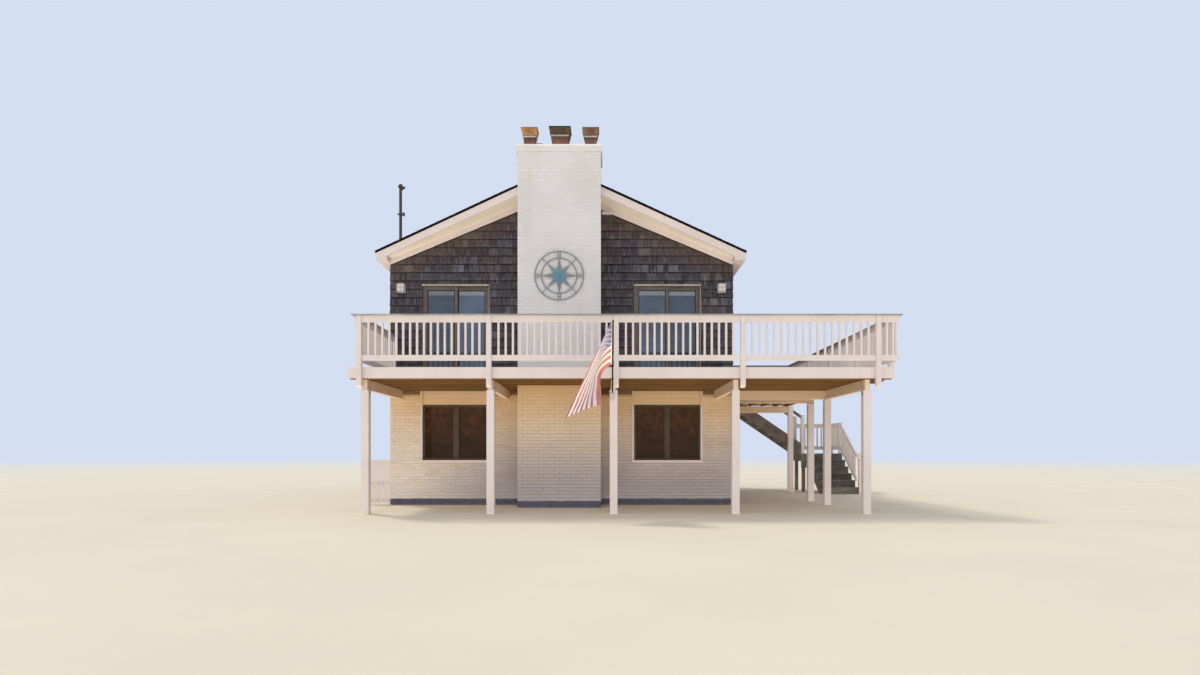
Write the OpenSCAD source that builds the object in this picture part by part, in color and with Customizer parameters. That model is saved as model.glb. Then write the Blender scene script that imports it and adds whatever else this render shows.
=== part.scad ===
// Two-storey gabled beach house with a chimney breast, a raised deck and an outside stair.
// +X is the right of the front view, -Y is the front and +Z is up.
// The origin is the centre of the house's footprint at ground level.

/* [House] */
// Width of the house over its side walls
house_w = 7280; // [7000:20:7700]
// Depth of the house over its end walls
house_d = 9140; // [8800:20:9800]
// Thickness of the ground storey's brick walls
ground_wall_t = 240; // [200:5:300]
// Thickness of the upper storey's framed walls
upper_wall_t = 160; // [130:5:190]
// Thickness of the ground floor slab
slab_t = 120; // [80:5:160]
// Height of the upper floor and of the deck above the ground
floor_z = 2650; // [2600:10:2800]
// Depth of the upper floor's framing
floor_t = 230; // [190:5:240]
// Height of the side walls' tops
eave_z = 5230; // [5050:10:5400]

/* [Roof] */
// Rise of the roof in a run of 1000
roof_rise = 417; // [350:1:480]
// Upright thickness of the roof's rafters and boarding
roof_t = 170; // [140:5:220]
// Overhang of the eaves beyond the side walls
eave_over = 230; // [190:5:400]
// Overhang of the front gable at the eaves
prow_eave = 270; // [200:10:450]
// Overhang of the front gable at the ridge
prow_ridge = 730; // [600:10:1000]
// Overhang of the back gable
back_over = 350; // [200:10:500]
// Upright depth of the rake boards and eave boards
trim_h = 180; // [175:5:250]
// Thickness of the rake boards and eave boards
trim_t = 38; // [25:1:50]
// Height of the frieze boards under the gables' roof
frieze_h = 125; // [60:5:200]
// Thickness of the frieze boards
frieze_t = 20; // [14:1:30]
// Thickness of the asphalt covering
cover_t = 30; // [12:1:40]
// Distance by which the covering stands past the boards
cover_lip = 18; // [8:1:30]
// Half width of the ridge capping
ridge_half = 150; // [100:5:200]

/* [Chimney] */
// Width of the chimney breast
chimney_w = 1675; // [1500:5:1850]
// Depth of the chimney breast in front of the wall
chimney_d = 830; // [760:10:900]
// Height of the chimney's top
chimney_z = 7320; // [7150:10:7600]
// Height of the brick courses that stand out at the top
crown_h = 140; // [60:10:480]
// Distance by which those courses stand out
crown_out = 28; // [8:1:40]
// Distance of the outer flues from the middle one
flue_pitch = 630; // [560:1:660]
// Height of the clay flues above the chimney
flue_h = 265; // [150:5:300]
// Wall of the clay flues
flue_wall = 25; // [18:1:35]
// Width of the middle flue
flue_mid_w = 337; // [300:1:380]
// Width of the outer flues
flue_side_w = 233; // [210:1:260]
// Height of the metal collar between a flue and its cap
collar_h = 45; // [30:1:60]
// Distance by which a cap's top stands out past its flue
cap_out = 45; // [35:1:60]
// Height of the caps' flared cages
cage_h = 140; // [120:5:200]
// Thickness of the caps' sheet metal
cap_sheet = 6; // [4:1:10]
// Spacing of the upright bars of the cages
cage_pitch = 30; // [24:1:40]
// Width of the slots between those bars
cage_slot = 17; // [12:1:20]
// Distance by which a lid stands out past its cage
lid_out = 12; // [6:1:20]
// Thickness of a lid at its edge, and its rise to the middle
lid_t = 14; // [8:1:24]

/* [Compass rose] */
// Outer radius of the compass rose
rose_r = 500; // [420:5:560]
// Radius of its inner ring
rose_inner_r = 366; // [320:2:400]
// Width of its rings
rose_ring_w = 22; // [16:1:32]
// Thickness of its metal
rose_t = 8; // [4:1:14]
// Width of the struts between the rings
rose_strut_w = 14; // [8:1:20]
// Width of the blocks between the rings at the four main points
rose_block_w = 52; // [40:1:80]
// Reach of the four long rays' waist from the centre
rose_waist = 62; // [45:1:80]
// Reach of the four short rays' waist from the centre
rose_short_waist = 52; // [40:1:70]
// Diameter of the pins that hold it off the chimney
rose_pin_d = 14; // [8:1:20]
// Gap between it and the chimney
rose_gap = 30; // [15:1:50]
// Height of its centre
rose_z = 4670; // [4500:10:4900]

/* [Windows] */
// Distance of the front windows' centres from the middle of the house
window_x = 2250; // [2100:10:2400]
// Width of the ground storey's windows
window_w = 1410; // [1200:10:1500]
// Height of a window
window_h = 1180; // [1000:10:1200]
// Height of the ground storey's sills
sill_z = 950; // [900:10:1050]
// Height of the upper storey's window heads and slider heads
head_z = 4680; // [4600:10:4850]
// Width of the sliding doors
slider_w = 1430; // [1300:10:1560]
// Width of the members of the windows' and sliding doors' frames
frame_w = 42; // [35:1:70]
// Depth of a window frame
frame_d = 100; // [70:5:120]
// Set-back of the frames from the walls' outer faces
frame_set = 30; // [10:5:60]
// Width of the windows' middle mullions
mullion_w = 120; // [60:1:140]
// Width of the sliding doors' stiles and rails
stile_w = 60; // [45:1:80]
// Thickness of the glass
glass_t = 12; // [6:1:24]
// Width of the white casings beside the ground storey's windows
casing_w = 48; // [35:1:90]
// Distance by which casings and sills stand out from the wall
casing_out = 22; // [12:1:40]
// Distance of the first side window from the front of the house
side_window_y1 = 2400; // [2000:10:2800]
// Distance of the second side window from the front of the house
side_window_y2 = 6740; // [6300:10:7200]
// Width of the entry door in the right wall
door_w = 920; // [800:10:1000]
// Height of that door
door_h = 2030; // [1950:10:2100]
// Thickness of the door's leaf and of its jambs
door_t = 45; // [40:1:55]
// Width of the door's stiles and rails
door_stile = 110; // [90:5:140]

/* [Wall lamps] */
// Distance of the lamps from the middle of the house
lamp_x = 3400; // [3300:10:3440]
// Height of the lamps' centres
lamp_z = 4600; // [4450:10:4700]
// Width of a lamp
lamp_w = 155; // [140:5:240]
// Height of a lamp
lamp_h = 170; // [160:5:280]
// Depth of a lamp
lamp_d = 120; // [90:5:160]
// Width of the bars round a lamp's panes
lamp_bar = 16; // [10:1:24]

/* [Deck] */
// Depth of the front deck
deck_d = 2450; // [2200:10:2800]
// Distance by which the front deck passes the left wall
deck_left = 80; // [40:5:160]
// Width of the side deck
side_deck_w = 2500; // [2300:10:2800]
// Length of the side deck behind the front wall's face
side_deck_l = 5500; // [5000:10:5800]
// Thickness of the deck boards
board_t = 35; // [25:1:40]
// Height of the joists
joist_h = 185; // [170:1:200]
// Thickness of the joists
joist_t = 38; // [30:1:50]
// Spacing of the joists
joist_pitch = 400; // [300:10:600]
// Height of the white boards round the deck's edge
fascia_h = 200; // [185:5:230]
// Thickness of those boards
fascia_t = 38; // [25:1:50]
// Height of the beams
beam_h = 185; // [150:5:240]
// Thickness of the beams
beam_t = 90; // [60:5:110]
// Side of the square posts
post_w = 140; // [110:5:160]
// Places of the four posts in front of the house, from its middle
post_x = [-3420, -1150, 1080, 3290]; // [-3450:10:3450]
// Distance of the outer beam line from the side deck's edge
outer_inset = 475; // [300:5:600]
// Distances of the first and the second cross beam behind the front wall's face
cross_y = [60, 1350]; // [60:10:3000]

/* [Railings] */
// Height of the railings above the deck
rail_h = 940; // [860:10:1050]
// Side of the square rail posts
rail_post_w = 90; // [75:1:110]
// Places of the four rail posts in front of the house, from its middle
rail_post_x = [-3490, -1163, 1125, 3400]; // [-3550:1:3550]
// Distance of the last front rail post from the side deck's edge
rail_post_inset = 310; // [250:10:400]
// Distance of the first rail post of the right side from the side deck's front edge
side_post_inset = 300; // [250:10:400]
// Distance by which the rail posts hang below the fascia
rail_post_drop = 180; // [100:10:240]
// Thickness of the rails' flat cap
cap_t = 22; // [18:1:38]
// Width of the rails' flat cap
cap_w = 130; // [100:5:160]
// Depth of the upper rail
top_rail_h = 120; // [80:5:140]
// Depth of the lower rail
low_rail_h = 100; // [70:5:120]
// Gap under the lower rail
low_rail_gap = 110; // [60:5:130]
// Thickness of the rails
rail_t = 38; // [30:1:50]
// Side of the square balusters
baluster_w = 38; // [28:1:45]
// Largest spacing of the balusters, centre to centre
baluster_pitch = 130; // [110:1:150]

/* [Stair] */
// Length of the walkway from the house to the top of the stair
top_walk_w = 930; // [850:10:1000]
// Width of the flights
flight_w = 950; // [850:10:1050]
// Going of one step
step_run = 285; // [260:1:300]
// Number of risers of the upper flight
upper_risers = 8; // [7:1:9]
// Height of the middle landing
landing_z = 1090; // [1000:10:1200]
// Length of the middle landing along the upper flight
landing_w = 1170; // [1060:10:1300]
// Height of the landing's and the lower flight's railing
stair_rail_h = 880; // [800:10:1000]
// Height of the upper flight's handrails over the nosings
handrail_z = 880; // [800:10:950]
// Depth of those handrails
handrail_h = 90; // [60:5:120]
// Number of risers of the lower flight
lower_risers = 6; // [5:1:7]
// Thickness of the treads
tread_t = 38; // [28:1:50]
// Distance by which a tread stands out past its riser
nosing = 25; // [15:1:30]
// Thickness of the stringers and of the riser boards
stringer_t = 42; // [35:1:50]
// Upright depth of a stringer under the steps' inner corners
stringer_h = 190; // [160:5:240]
// Height of the upper flight's strings over the line of its nosings
string_over = 75; // [30:5:120]
// Depth of those strings below that line
string_under = 275; // [260:5:340]

/* [Service mast] */
// Diameter of the mast
mast_d = 65; // [50:1:76]
// Distance of the mast from the left wall
mast_out = 110; // [90:5:130]
// Distance of the mast behind the front wall's face
mast_y = 1200; // [900:10:1800]
// Height of the mast's top
mast_z = 7180; // [6800:10:7400]
// Distance of the wire clamp below the mast's top
clamp_drop = 640; // [400:10:800]
// Distance of the straps from the meter box and from the eave
strap_inset = 450; // [300:10:600]
// Height of the meter box's top
meter_z = 1850; // [1600:10:2000]
// Width, depth and height of the meter box
meter_size = [300, 170, 460]; // [120:5:600]

/* [Flag] */
// Length of the flagpole in front of its socket's foot
pole_l = 1700; // [1500:10:2000]
// Distance of the flagpole from the middle of its post, to the left
pole_left = 25; // [0:1:35]
// Diameter of the flagpole
pole_d = 24; // [18:1:34]
// Slope of the flagpole above the level
pole_slope = 44; // [35:1:60]
// Height of the foot of the pole
pole_z = 2120; // [2050:10:2200]
// Height of the flag at the pole
flag_h = 940; // [700:10:1000]
// Length of the flag
flag_l = 1800; // [1400:10:1900]
// Depth of the flag's pleats
flag_pleat = 45; // [0:1:45]
// Thickness of the flag
flag_t = 5; // [3:1:6]

/* [Picket screen] */
// Length of the picket screen beside the left wall
screen_l = 560; // [400:10:900]
// Height of the picket screen
screen_h = 950; // [800:10:1100]
// Width of a picket
picket_w = 38; // [30:1:90]
// Gap between two pickets
picket_gap = 14; // [10:1:60]

/* [Fits] */
// Gap between pieces that seat on each other with a curved or a glazed joint
fit_gap = 0.3; // [0.1:0.1:1]

/* [Hidden] */
$fn = 48;
past = 10;

half_w = house_w / 2;
front_y = -house_d / 2;
back_y = house_d / 2;
storey_z = floor_z - floor_t;
slope = roof_rise / 1000;
apex_z = eave_z + half_w * slope;
eave_x = half_w + eave_over;
before_roof = front_y - 2 * prow_ridge;
behind_roof = back_y + 2 * back_over;
chimney_front = front_y - chimney_d;
slider_h = head_z - floor_z;
upper_sill_z = head_z - window_h;

deck_front = front_y - deck_d;
deck_x1 = -half_w - deck_left;
deck_x2 = half_w + side_deck_w;
deck_back = front_y + side_deck_l;
joist_z = floor_z - board_t - joist_h;
beam_z = joist_z - beam_h;
outer_x = deck_x2 - outer_inset;
post_xs = concat(post_x, [outer_x]);
post_y = deck_front + fascia_t + post_w / 2;
rail_post_xs = concat(rail_post_x, [deck_x2 - rail_post_inset]);
rail_y = deck_front - rail_post_w / 2;
right_rail_x = deck_x2 + rail_post_w / 2;
left_rail_x = rail_post_x[0] - rail_post_w / 2 - rail_t / 2;

walk_x2 = half_w + top_walk_w;
flight_y1 = deck_back;
flight_y2 = flight_y1 + flight_w;
upper_rise = (floor_z - landing_z) / upper_risers;
landing_x1 = walk_x2 + (upper_risers - 1) * step_run - nosing;
landing_x2 = landing_x1 + landing_w;
lower_rise = landing_z / lower_risers;
lower_x1 = landing_x2 - flight_w;
foot_d = (lower_risers - 1) * step_run;

pole_x = post_x[2] - pole_left;
pole_y = deck_front - 7;

// Upright prism along Y over an outline drawn in X and Z
module prism_y(points, y1, y2) {
    translate([0, y2, 0]) rotate([90, 0, 0]) linear_extrude(height = y2 - y1) polygon(points);
}

// Upright prism along X over an outline drawn in Y and Z
module prism_x(points, x1, x2) {
    translate([x1, 0, 0]) rotate([90, 0, 90]) linear_extrude(height = x2 - x1) polygon(points);
}

// Box between two corners
module block(low, high) {
    translate(low) cube(high - low);
}

// Height of the roof's underside at a distance from the ridge line
function under_z(x) = apex_z - abs(x) * slope;

// Front edge of the roof in plan at a distance from the ridge line
function prow_y(x) = front_y - prow_ridge + (prow_ridge - prow_eave) * abs(x) / eave_x;

// Walls

// Holes of the ground storey's front windows, open to the top of the wall
module front_window_holes() {
    for (side = [-1, 1])
        block([side * window_x - window_w / 2, front_y - past, sill_z],
              [side * window_x + window_w / 2, front_y + ground_wall_t + past, storey_z + past]);
}

// Holes of the front sliding doors
module slider_holes() {
    for (side = [-1, 1])
        block([side * window_x - slider_w / 2, front_y - past, floor_z],
              [side * window_x + slider_w / 2, front_y + upper_wall_t + past, head_z]);
}

// Hole through a side wall, centred at a distance behind the front of the house
module side_hole(side, y, w, z, h) {
    reach = ground_wall_t + past;
    block([side * half_w - reach, front_y + y - w / 2, z],
          [side * half_w + reach, front_y + y + w / 2, z + h]);
}

module ground_front_wall() {
    color("#e6ded3") difference() {
        block([-half_w, front_y, 0], [half_w, front_y + ground_wall_t, storey_z]);
        front_window_holes();
    }
}

module ground_back_wall() {
    color("#e6ded3") difference() {
        block([-half_w, back_y - ground_wall_t, 0], [half_w, back_y, storey_z]);
        for (side = [-1, 1])
            block([side * window_x - window_w / 2, back_y - ground_wall_t - past, sill_z],
                  [side * window_x + window_w / 2, back_y + past, sill_z + window_h]);
    }
}

// Ground storey side wall between the end walls, on the left for -1 and on the right for 1
module ground_side_wall(side) {
    inner = half_w - ground_wall_t;
    block([min(side * half_w, side * inner), front_y + ground_wall_t, 0],
          [max(side * half_w, side * inner), back_y - ground_wall_t, storey_z]);
}

module ground_left_wall() {
    color("#e6ded3") difference() {
        ground_side_wall(-1);
        side_hole(-1, side_window_y1, window_w, sill_z, window_h);
        side_hole(-1, side_window_y2, window_w, sill_z, window_h);
    }
}

module ground_right_wall() {
    color("#e6ded3") difference() {
        ground_side_wall(1);
        side_hole(1, side_window_y1, door_w, slab_t, door_h);
        side_hole(1, side_window_y2, window_w, sill_z, window_h);
    }
}

module ground_floor() {
    inset = ground_wall_t;
    color("#b8b2a8")
        block([-half_w + inset, front_y + inset, 0], [half_w - inset, back_y - inset, slab_t]);
}

// Gable wall of the upper storey from its outer face y1 to y2
module gable_wall(y1, y2) {
    prism_y([[-half_w, storey_z], [half_w, storey_z], [half_w, eave_z], [0, apex_z], [-half_w, eave_z]],
            y1, y2);
}

module upper_front_wall() {
    color("#5c5455") difference() {
        gable_wall(front_y, front_y + upper_wall_t);
        slider_holes();
    }
}

module upper_back_wall() {
    color("#5c5455") difference() {
        gable_wall(back_y - upper_wall_t, back_y);
        for (side = [-1, 1])
            block([side * window_x - window_w / 2, back_y - upper_wall_t - past, upper_sill_z],
                  [side * window_x + window_w / 2, back_y + past, head_z]);
    }
}

// Upper side wall between the gables, its top following the roof's underside
module upper_side_wall(side) {
    inner = half_w - upper_wall_t;
    prism_y([[side * inner, storey_z], [side * half_w, storey_z],
             [side * half_w, eave_z], [side * inner, under_z(inner)]],
            front_y + upper_wall_t, back_y - upper_wall_t);
}

module upper_left_wall() {
    color("#5c5455") difference() {
        upper_side_wall(-1);
        side_hole(-1, side_window_y1, window_w, upper_sill_z, window_h);
        side_hole(-1, side_window_y2, window_w, upper_sill_z, window_h);
    }
}

module upper_right_wall() {
    color("#5c5455") difference() {
        upper_side_wall(1);
        side_hole(1, side_window_y1, slider_w, floor_z, slider_h);
        side_hole(1, side_window_y2, window_w, upper_sill_z, window_h);
    }
}

module upper_floor() {
    inset = upper_wall_t;
    color("#a98f6c")
        block([-half_w + inset, front_y + inset, storey_z], [half_w - inset, back_y - inset, floor_z]);
}

// Roof

// Band of a roof slope from the ridge to a distance, between two heights above the roof's underside
module slope_band(side, x2, low, high) {
    prism_y([[0, apex_z + low], [side * x2, under_z(x2) + low], [side * x2, under_z(x2) + high],
             [0, apex_z + high]],
            before_roof, behind_roof);
}

// Upright prism over the plan of one roof slope, grown outward by a lip
module slope_plan(side, lip) {
    x2 = eave_x + lip;
    translate([0, 0, storey_z]) linear_extrude(height = 2 * eave_z)
        polygon([[0, prow_y(0) - lip], [side * x2, prow_y(x2) - lip],
                 [side * x2, back_y + back_over + lip], [0, back_y + back_over + lip]]);
}

// Room that the roof leaves for the chimney and for the mast
module roof_cutouts() {
    block([-chimney_w / 2, before_roof, storey_z], [chimney_w / 2, front_y, 2 * eave_z]);
    translate([-half_w - mast_out, front_y + mast_y, eave_z - 2 * roof_t])
        cylinder(h = 6 * roof_t, d = mast_d + 2 * fit_gap);
}

// Rafters and boarding of one slope, between its rake boards and behind its eave board
module roof_slope(side) {
    difference() {
        intersection() {
            slope_band(side, eave_x - trim_t, 0, roof_t);
            slope_plan(side, -trim_t);
        }
        roof_cutouts();
    }
}

module roof_left() {
    color("#ece5d8") roof_slope(-1);
}

module roof_right() {
    color("#ece5d8") roof_slope(1);
}

// Asphalt covering of one slope
module roof_cover(side) {
    difference() {
        intersection() {
            slope_band(side, eave_x + cover_lip, roof_t, roof_t + cover_t);
            slope_plan(side, cover_lip);
        }
        roof_cutouts();
    }
}

module roof_cover_left() {
    color("#2b2a2b") roof_cover(-1);
}

module roof_cover_right() {
    color("#2b2a2b") roof_cover(1);
}

// Capping bent over the ridge behind the chimney
module ridge_cap() {
    top = roof_t + cover_t;
    cap = cover_t / 2;
    color("#252426")
        prism_y([[-ridge_half, under_z(ridge_half) + top], [0, apex_z + top],
                 [ridge_half, under_z(ridge_half) + top], [ridge_half, under_z(ridge_half) + top + cap],
                 [0, apex_z + top + cap], [-ridge_half, under_z(ridge_half) + top + cap]],
                front_y, back_y + back_over + cover_lip);
}

// Frieze board on a gable wall under the roof, between two distances from the ridge line
module frieze(side, x1, x2, y) {
    prism_y([[side * x1, under_z(x1) - frieze_h], [side * x2, under_z(x2) - frieze_h],
             [side * x2, under_z(x2)], [side * x1, under_z(x1)]],
            y, y + frieze_t);
}

// White boards that close both gables, mitred at the ridge and cut against the chimney, and the friezes
// on the gable walls behind them
module rake_boards() {
    drop = roof_t - trim_h;
    color("#f3efe8") for (side = [-1, 1]) difference() {
        intersection() {
            slope_band(side, eave_x, drop, roof_t);
            difference() {
                slope_plan(side, 0);
                slope_plan(side, -trim_t);
                block([-2 * eave_x, front_y, 0], [2 * eave_x, back_y, 3 * eave_z]);
            }
        }
        block([-chimney_w / 2, before_roof, storey_z], [chimney_w / 2, front_y, 2 * eave_z]);
        block([eave_x - trim_t, before_roof, storey_z], [2 * eave_x, behind_roof, 2 * eave_z]);
        block([-2 * eave_x, before_roof, storey_z], [trim_t - eave_x, behind_roof, 2 * eave_z]);
    }
    color("#f3efe8") for (side = [-1, 1]) {
        frieze(side, chimney_w / 2, half_w, front_y - frieze_t);
        frieze(side, 0, half_w, back_y);
    }
}

// White boards along the eaves, with the boxing that fills the room between them and the walls
module eave_boards() {
    board_x = eave_x - trim_t;
    outer = under_z(eave_x) + roof_t;
    inner = under_z(board_x) + roof_t;
    low = inner - trim_h;
    color("#f3efe8") for (side = [-1, 1]) {
        intersection() {
            prism_y([[side * board_x, low], [side * eave_x, low], [side * eave_x, outer], [side * board_x, inner]],
                    before_roof, behind_roof);
            slope_plan(side, 0);
        }
        difference() {
            intersection() {
                prism_y([[side * half_w, low], [side * board_x, low], [side * board_x, under_z(board_x)],
                         [side * half_w, under_z(half_w)]],
                        before_roof, behind_roof);
                slope_plan(side, -trim_t);
            }
            roof_cutouts();
        }
    }
}

// Chimney

module chimney_stack() {
    half = chimney_w / 2;
    crown_z = chimney_z - crown_h;
    color("#efebe5") {
        block([-half, chimney_front, 0], [half, front_y, crown_z]);
        block([-half - crown_out, chimney_front - crown_out, crown_z],
              [half + crown_out, front_y + crown_out, chimney_z]);
    }
}

// Square tube standing on the chimney's top
module flue_liner(x, w) {
    y = (chimney_front + front_y) / 2;
    translate([x, y, chimney_z]) linear_extrude(height = flue_h) difference() {
        square(w, center = true);
        square(w - 2 * flue_wall, center = true);
    }
}

module flue_liners() {
    color("#a8654a") {
        flue_liner(-flue_pitch, flue_side_w);
        flue_liner(0, flue_mid_w);
        flue_liner(flue_pitch, flue_side_w);
    }
}

// Square frustum on the origin, w1 wide at its foot and w2 at its top
module frustum(w1, w2, h) {
    rotate([0, 0, 45]) cylinder(h = h, r1 = w1 / sqrt(2), r2 = w2 / sqrt(2), $fn = 4);
}

// Cap of a flue: a collar on the flue's rim, a flared cage of upright bars and a hipped lid
module flue_cap(x, flue_w) {
    y = (chimney_front + front_y) / 2;
    top_w = flue_w + 2 * cap_out;
    foot_w = flue_w + cap_out;
    lid_w = top_w + 2 * lid_out;
    band = 2.5 * cap_sheet;
    slots = floor((flue_w - cage_pitch) / cage_pitch);
    translate([x, y, chimney_z + flue_h]) {
        linear_extrude(height = collar_h) difference() {
            square(flue_w - flue_wall, center = true);
            square(flue_w - flue_wall - 2 * cap_sheet, center = true);
        }
        translate([0, 0, collar_h]) difference() {
            frustum(foot_w, top_w, cage_h);
            translate([0, 0, cap_sheet]) frustum(foot_w - 2 * cap_sheet, top_w - 2 * cap_sheet, cage_h);
            cube([flue_w - 2 * flue_wall, flue_w - 2 * flue_wall, 4 * cap_sheet], center = true);
            for (k = [0 : slots - 1], turn = [0, 90]) rotate([0, 0, turn])
                translate([(k - (slots - 1) / 2) * cage_pitch - cage_slot / 2, -top_w, band])
                    cube([cage_slot, 2 * top_w, cage_h - 2 * band]);
        }
        translate([-lid_w / 2, -lid_w / 2, collar_h + cage_h]) cube([lid_w, lid_w, lid_t]);
        translate([0, 0, collar_h + cage_h + lid_t - 1]) frustum(lid_w - 2 * cap_sheet, lid_w / 3, lid_t);
    }
}

module flue_cap_left() {
    color("#b98552") flue_cap(-flue_pitch, flue_side_w);
}

module flue_cap_middle() {
    color("#4c4744") flue_cap(0, flue_mid_w);
}

module flue_cap_right() {
    color("#8a7058") flue_cap(flue_pitch, flue_side_w);
}

// Compass rose

// Flat ring around the origin
module ring(r, w) {
    difference() {
        circle(r);
        circle(r - w);
    }
}

// Four kite-shaped rays, each from a narrow waist to its point
module rose_rays(length, waist) {
    for (a = [0, 90, 180, 270]) rotate(a)
        polygon([[0, 0], [waist, waist], [0, length], [-waist, waist]]);
}

// Strut from the inner to the outer ring at a distance from the upright line
module rose_strut(x) {
    translate([x - rose_strut_w / 2, rose_inner_r - rose_ring_w / 2])
        square([rose_strut_w, rose_r - rose_inner_r]);
}

module compass_rose() {
    face_y = chimney_front - rose_gap;
    color("#8fb3b5") {
        translate([0, face_y, rose_z]) rotate([90, 0, 0]) linear_extrude(height = rose_t) {
            ring(rose_r, rose_ring_w);
            ring(rose_inner_r, rose_ring_w);
            rose_rays(rose_inner_r - rose_ring_w / 4, rose_waist);
            rotate(45) rose_rays(rose_inner_r - rose_ring_w / 4, rose_short_waist);
            for (a = [0 : 90 : 270]) {
                rotate(a + 45) rose_strut(0);
                for (side = [-1, 1]) rotate(a) rose_strut(side * rose_block_w / 2);
                rotate(a)
                    translate([-rose_block_w / 2, (rose_r + rose_inner_r - rose_ring_w - rose_strut_w) / 2])
                    square([rose_block_w, rose_strut_w]);
            }
        }
        for (a = [45 : 90 : 315]) {
            r = rose_r - rose_ring_w / 2;
            translate([r * cos(a), chimney_front, rose_z + r * sin(a)])
                rotate([90, 0, 0]) cylinder(h = rose_gap + rose_t / 2, d = rose_pin_d);
        }
    }
}

// Windows and doors

// Window frame with one mullion, its outer face at y = 0 and its sill at z = 0
module frame(w, h, mullion) {
    difference() {
        translate([-w / 2, 0, 0]) cube([w, frame_d, h]);
        for (side = [-1, 1]) {
            pane = (w - 2 * frame_w - mullion) / 2;
            translate([side * (mullion + pane) / 2 - pane / 2, -1, frame_w])
                cube([pane, frame_d + 2, h - 2 * frame_w]);
        }
    }
}

// The two panes of that frame
module panes(w, h, mullion) {
    pane = (w - 2 * frame_w - mullion) / 2 - 2 * fit_gap;
    for (side = [-1, 1])
        translate([side * (mullion / 2 + fit_gap + pane / 2) - pane / 2, (frame_d - glass_t) / 2,
                   frame_w + fit_gap])
            cube([pane, glass_t, h - 2 * frame_w - 2 * fit_gap]);
}

// Places a window: on the front or the back wall at x, or on a side wall at a distance behind the front
module on_front(x, z) {
    translate([x, front_y + frame_set, z]) children();
}
module on_back(x, z) {
    translate([x, back_y - frame_set, z]) rotate([0, 0, 180]) children();
}
module on_left(y, z) {
    translate([-half_w + frame_set, front_y + y, z]) rotate([0, 0, -90]) children();
}
module on_right(y, z) {
    translate([half_w - frame_set, front_y + y, z]) rotate([0, 0, 90]) children();
}

module front_windows() {
    color("#4a3f38") for (side = [-1, 1])
        on_front(side * window_x, sill_z) frame(window_w, window_h, mullion_w);
}

// Boarded infill between the ground storey's windows and the upper floor, a lapped board a step
module window_heads() {
    low = sill_z + window_h;
    boards = 3;
    h = (storey_z - low) / boards;
    color("#e9e1d3") for (side = [-1, 1]) {
        x1 = side * window_x - window_w / 2;
        prism_x(concat([[front_y + ground_wall_t / 2, low]],
                       [for (k = [0 : boards - 1]) each
                           [[front_y + 6, low + k * h], [front_y + 18, low + (k + 1) * h]]],
                       [[front_y + ground_wall_t / 2, storey_z]]),
                x1, x1 + window_w);
    }
}

// White casings up both sides of each window and a sill under it
module window_casings() {
    sill_h = 45;
    color("#f0ebe2") for (side = [-1, 1]) {
        x1 = side * window_x - window_w / 2;
        x2 = x1 + window_w;
        for (x = [x1 - casing_w, x2])
            block([x, front_y - casing_out, sill_z], [x + casing_w, front_y, storey_z]);
        block([x1 - casing_w, front_y - 2 * casing_out, sill_z - sill_h],
              [x2 + casing_w, front_y, sill_z]);
    }
}

// Sliding door: an outer frame, a fixed leaf, a sliding leaf on the inner track, and a head strip
module slider() {
    leaf_d = frame_d / 2;
    half = slider_w / 2;
    head_h = 40;
    difference() {
        translate([-half, 0, 0]) cube([slider_w, frame_d, slider_h]);
        translate([-half + frame_w, -1, frame_w])
            cube([slider_w - 2 * frame_w, frame_d + 2, slider_h - 2 * frame_w]);
    }
    translate([-half, -12, slider_h - head_h]) cube([slider_w, 12, head_h]);
    slider_leaf(-half + frame_w, stile_w / 2, 0, leaf_d);
    slider_leaf(-stile_w / 2, half - frame_w, leaf_d, frame_d);
}

// One leaf of a sliding door between two places across it and two depths
module slider_leaf(x1, x2, y1, y2) {
    difference() {
        block([x1, y1, frame_w], [x2, y2, slider_h - frame_w]);
        block([x1 + stile_w, y1 - 1, frame_w + stile_w],
              [x2 - stile_w, y2 + 1, slider_h - frame_w - stile_w]);
    }
}

// Glass of the two leaves
module slider_panes() {
    half = slider_w / 2;
    gap = fit_gap;
    edge = stile_w + gap;
    z1 = frame_w + edge;
    z2 = slider_h - frame_w - edge;
    block([-half + frame_w + edge, (frame_d / 2 - glass_t) / 2, z1],
          [-stile_w / 2 - gap, (frame_d / 2 + glass_t) / 2, z2]);
    block([stile_w / 2 + gap, frame_d * 3 / 4 - glass_t / 2, z1],
          [half - frame_w - edge, frame_d * 3 / 4 + glass_t / 2, z2]);
}

module slider_left() {
    color("#6b6058") on_front(-window_x, floor_z) slider();
}

module slider_right() {
    color("#6b6058") on_front(window_x, floor_z) slider();
}

module side_windows_left() {
    color("#4a3f38") for (y = [side_window_y1, side_window_y2], z = [sill_z, upper_sill_z])
        on_left(y, z) frame(window_w, window_h, mullion_w);
}

module side_windows_right() {
    color("#4a3f38") {
        for (z = [sill_z, upper_sill_z]) on_right(side_window_y2, z) frame(window_w, window_h, mullion_w);
        on_right(side_window_y1, floor_z) slider();
    }
}

module back_windows() {
    color("#4a3f38") for (side = [-1, 1], z = [sill_z, upper_sill_z])
        on_back(side * window_x, z) frame(window_w, window_h, mullion_w);
}

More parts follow.
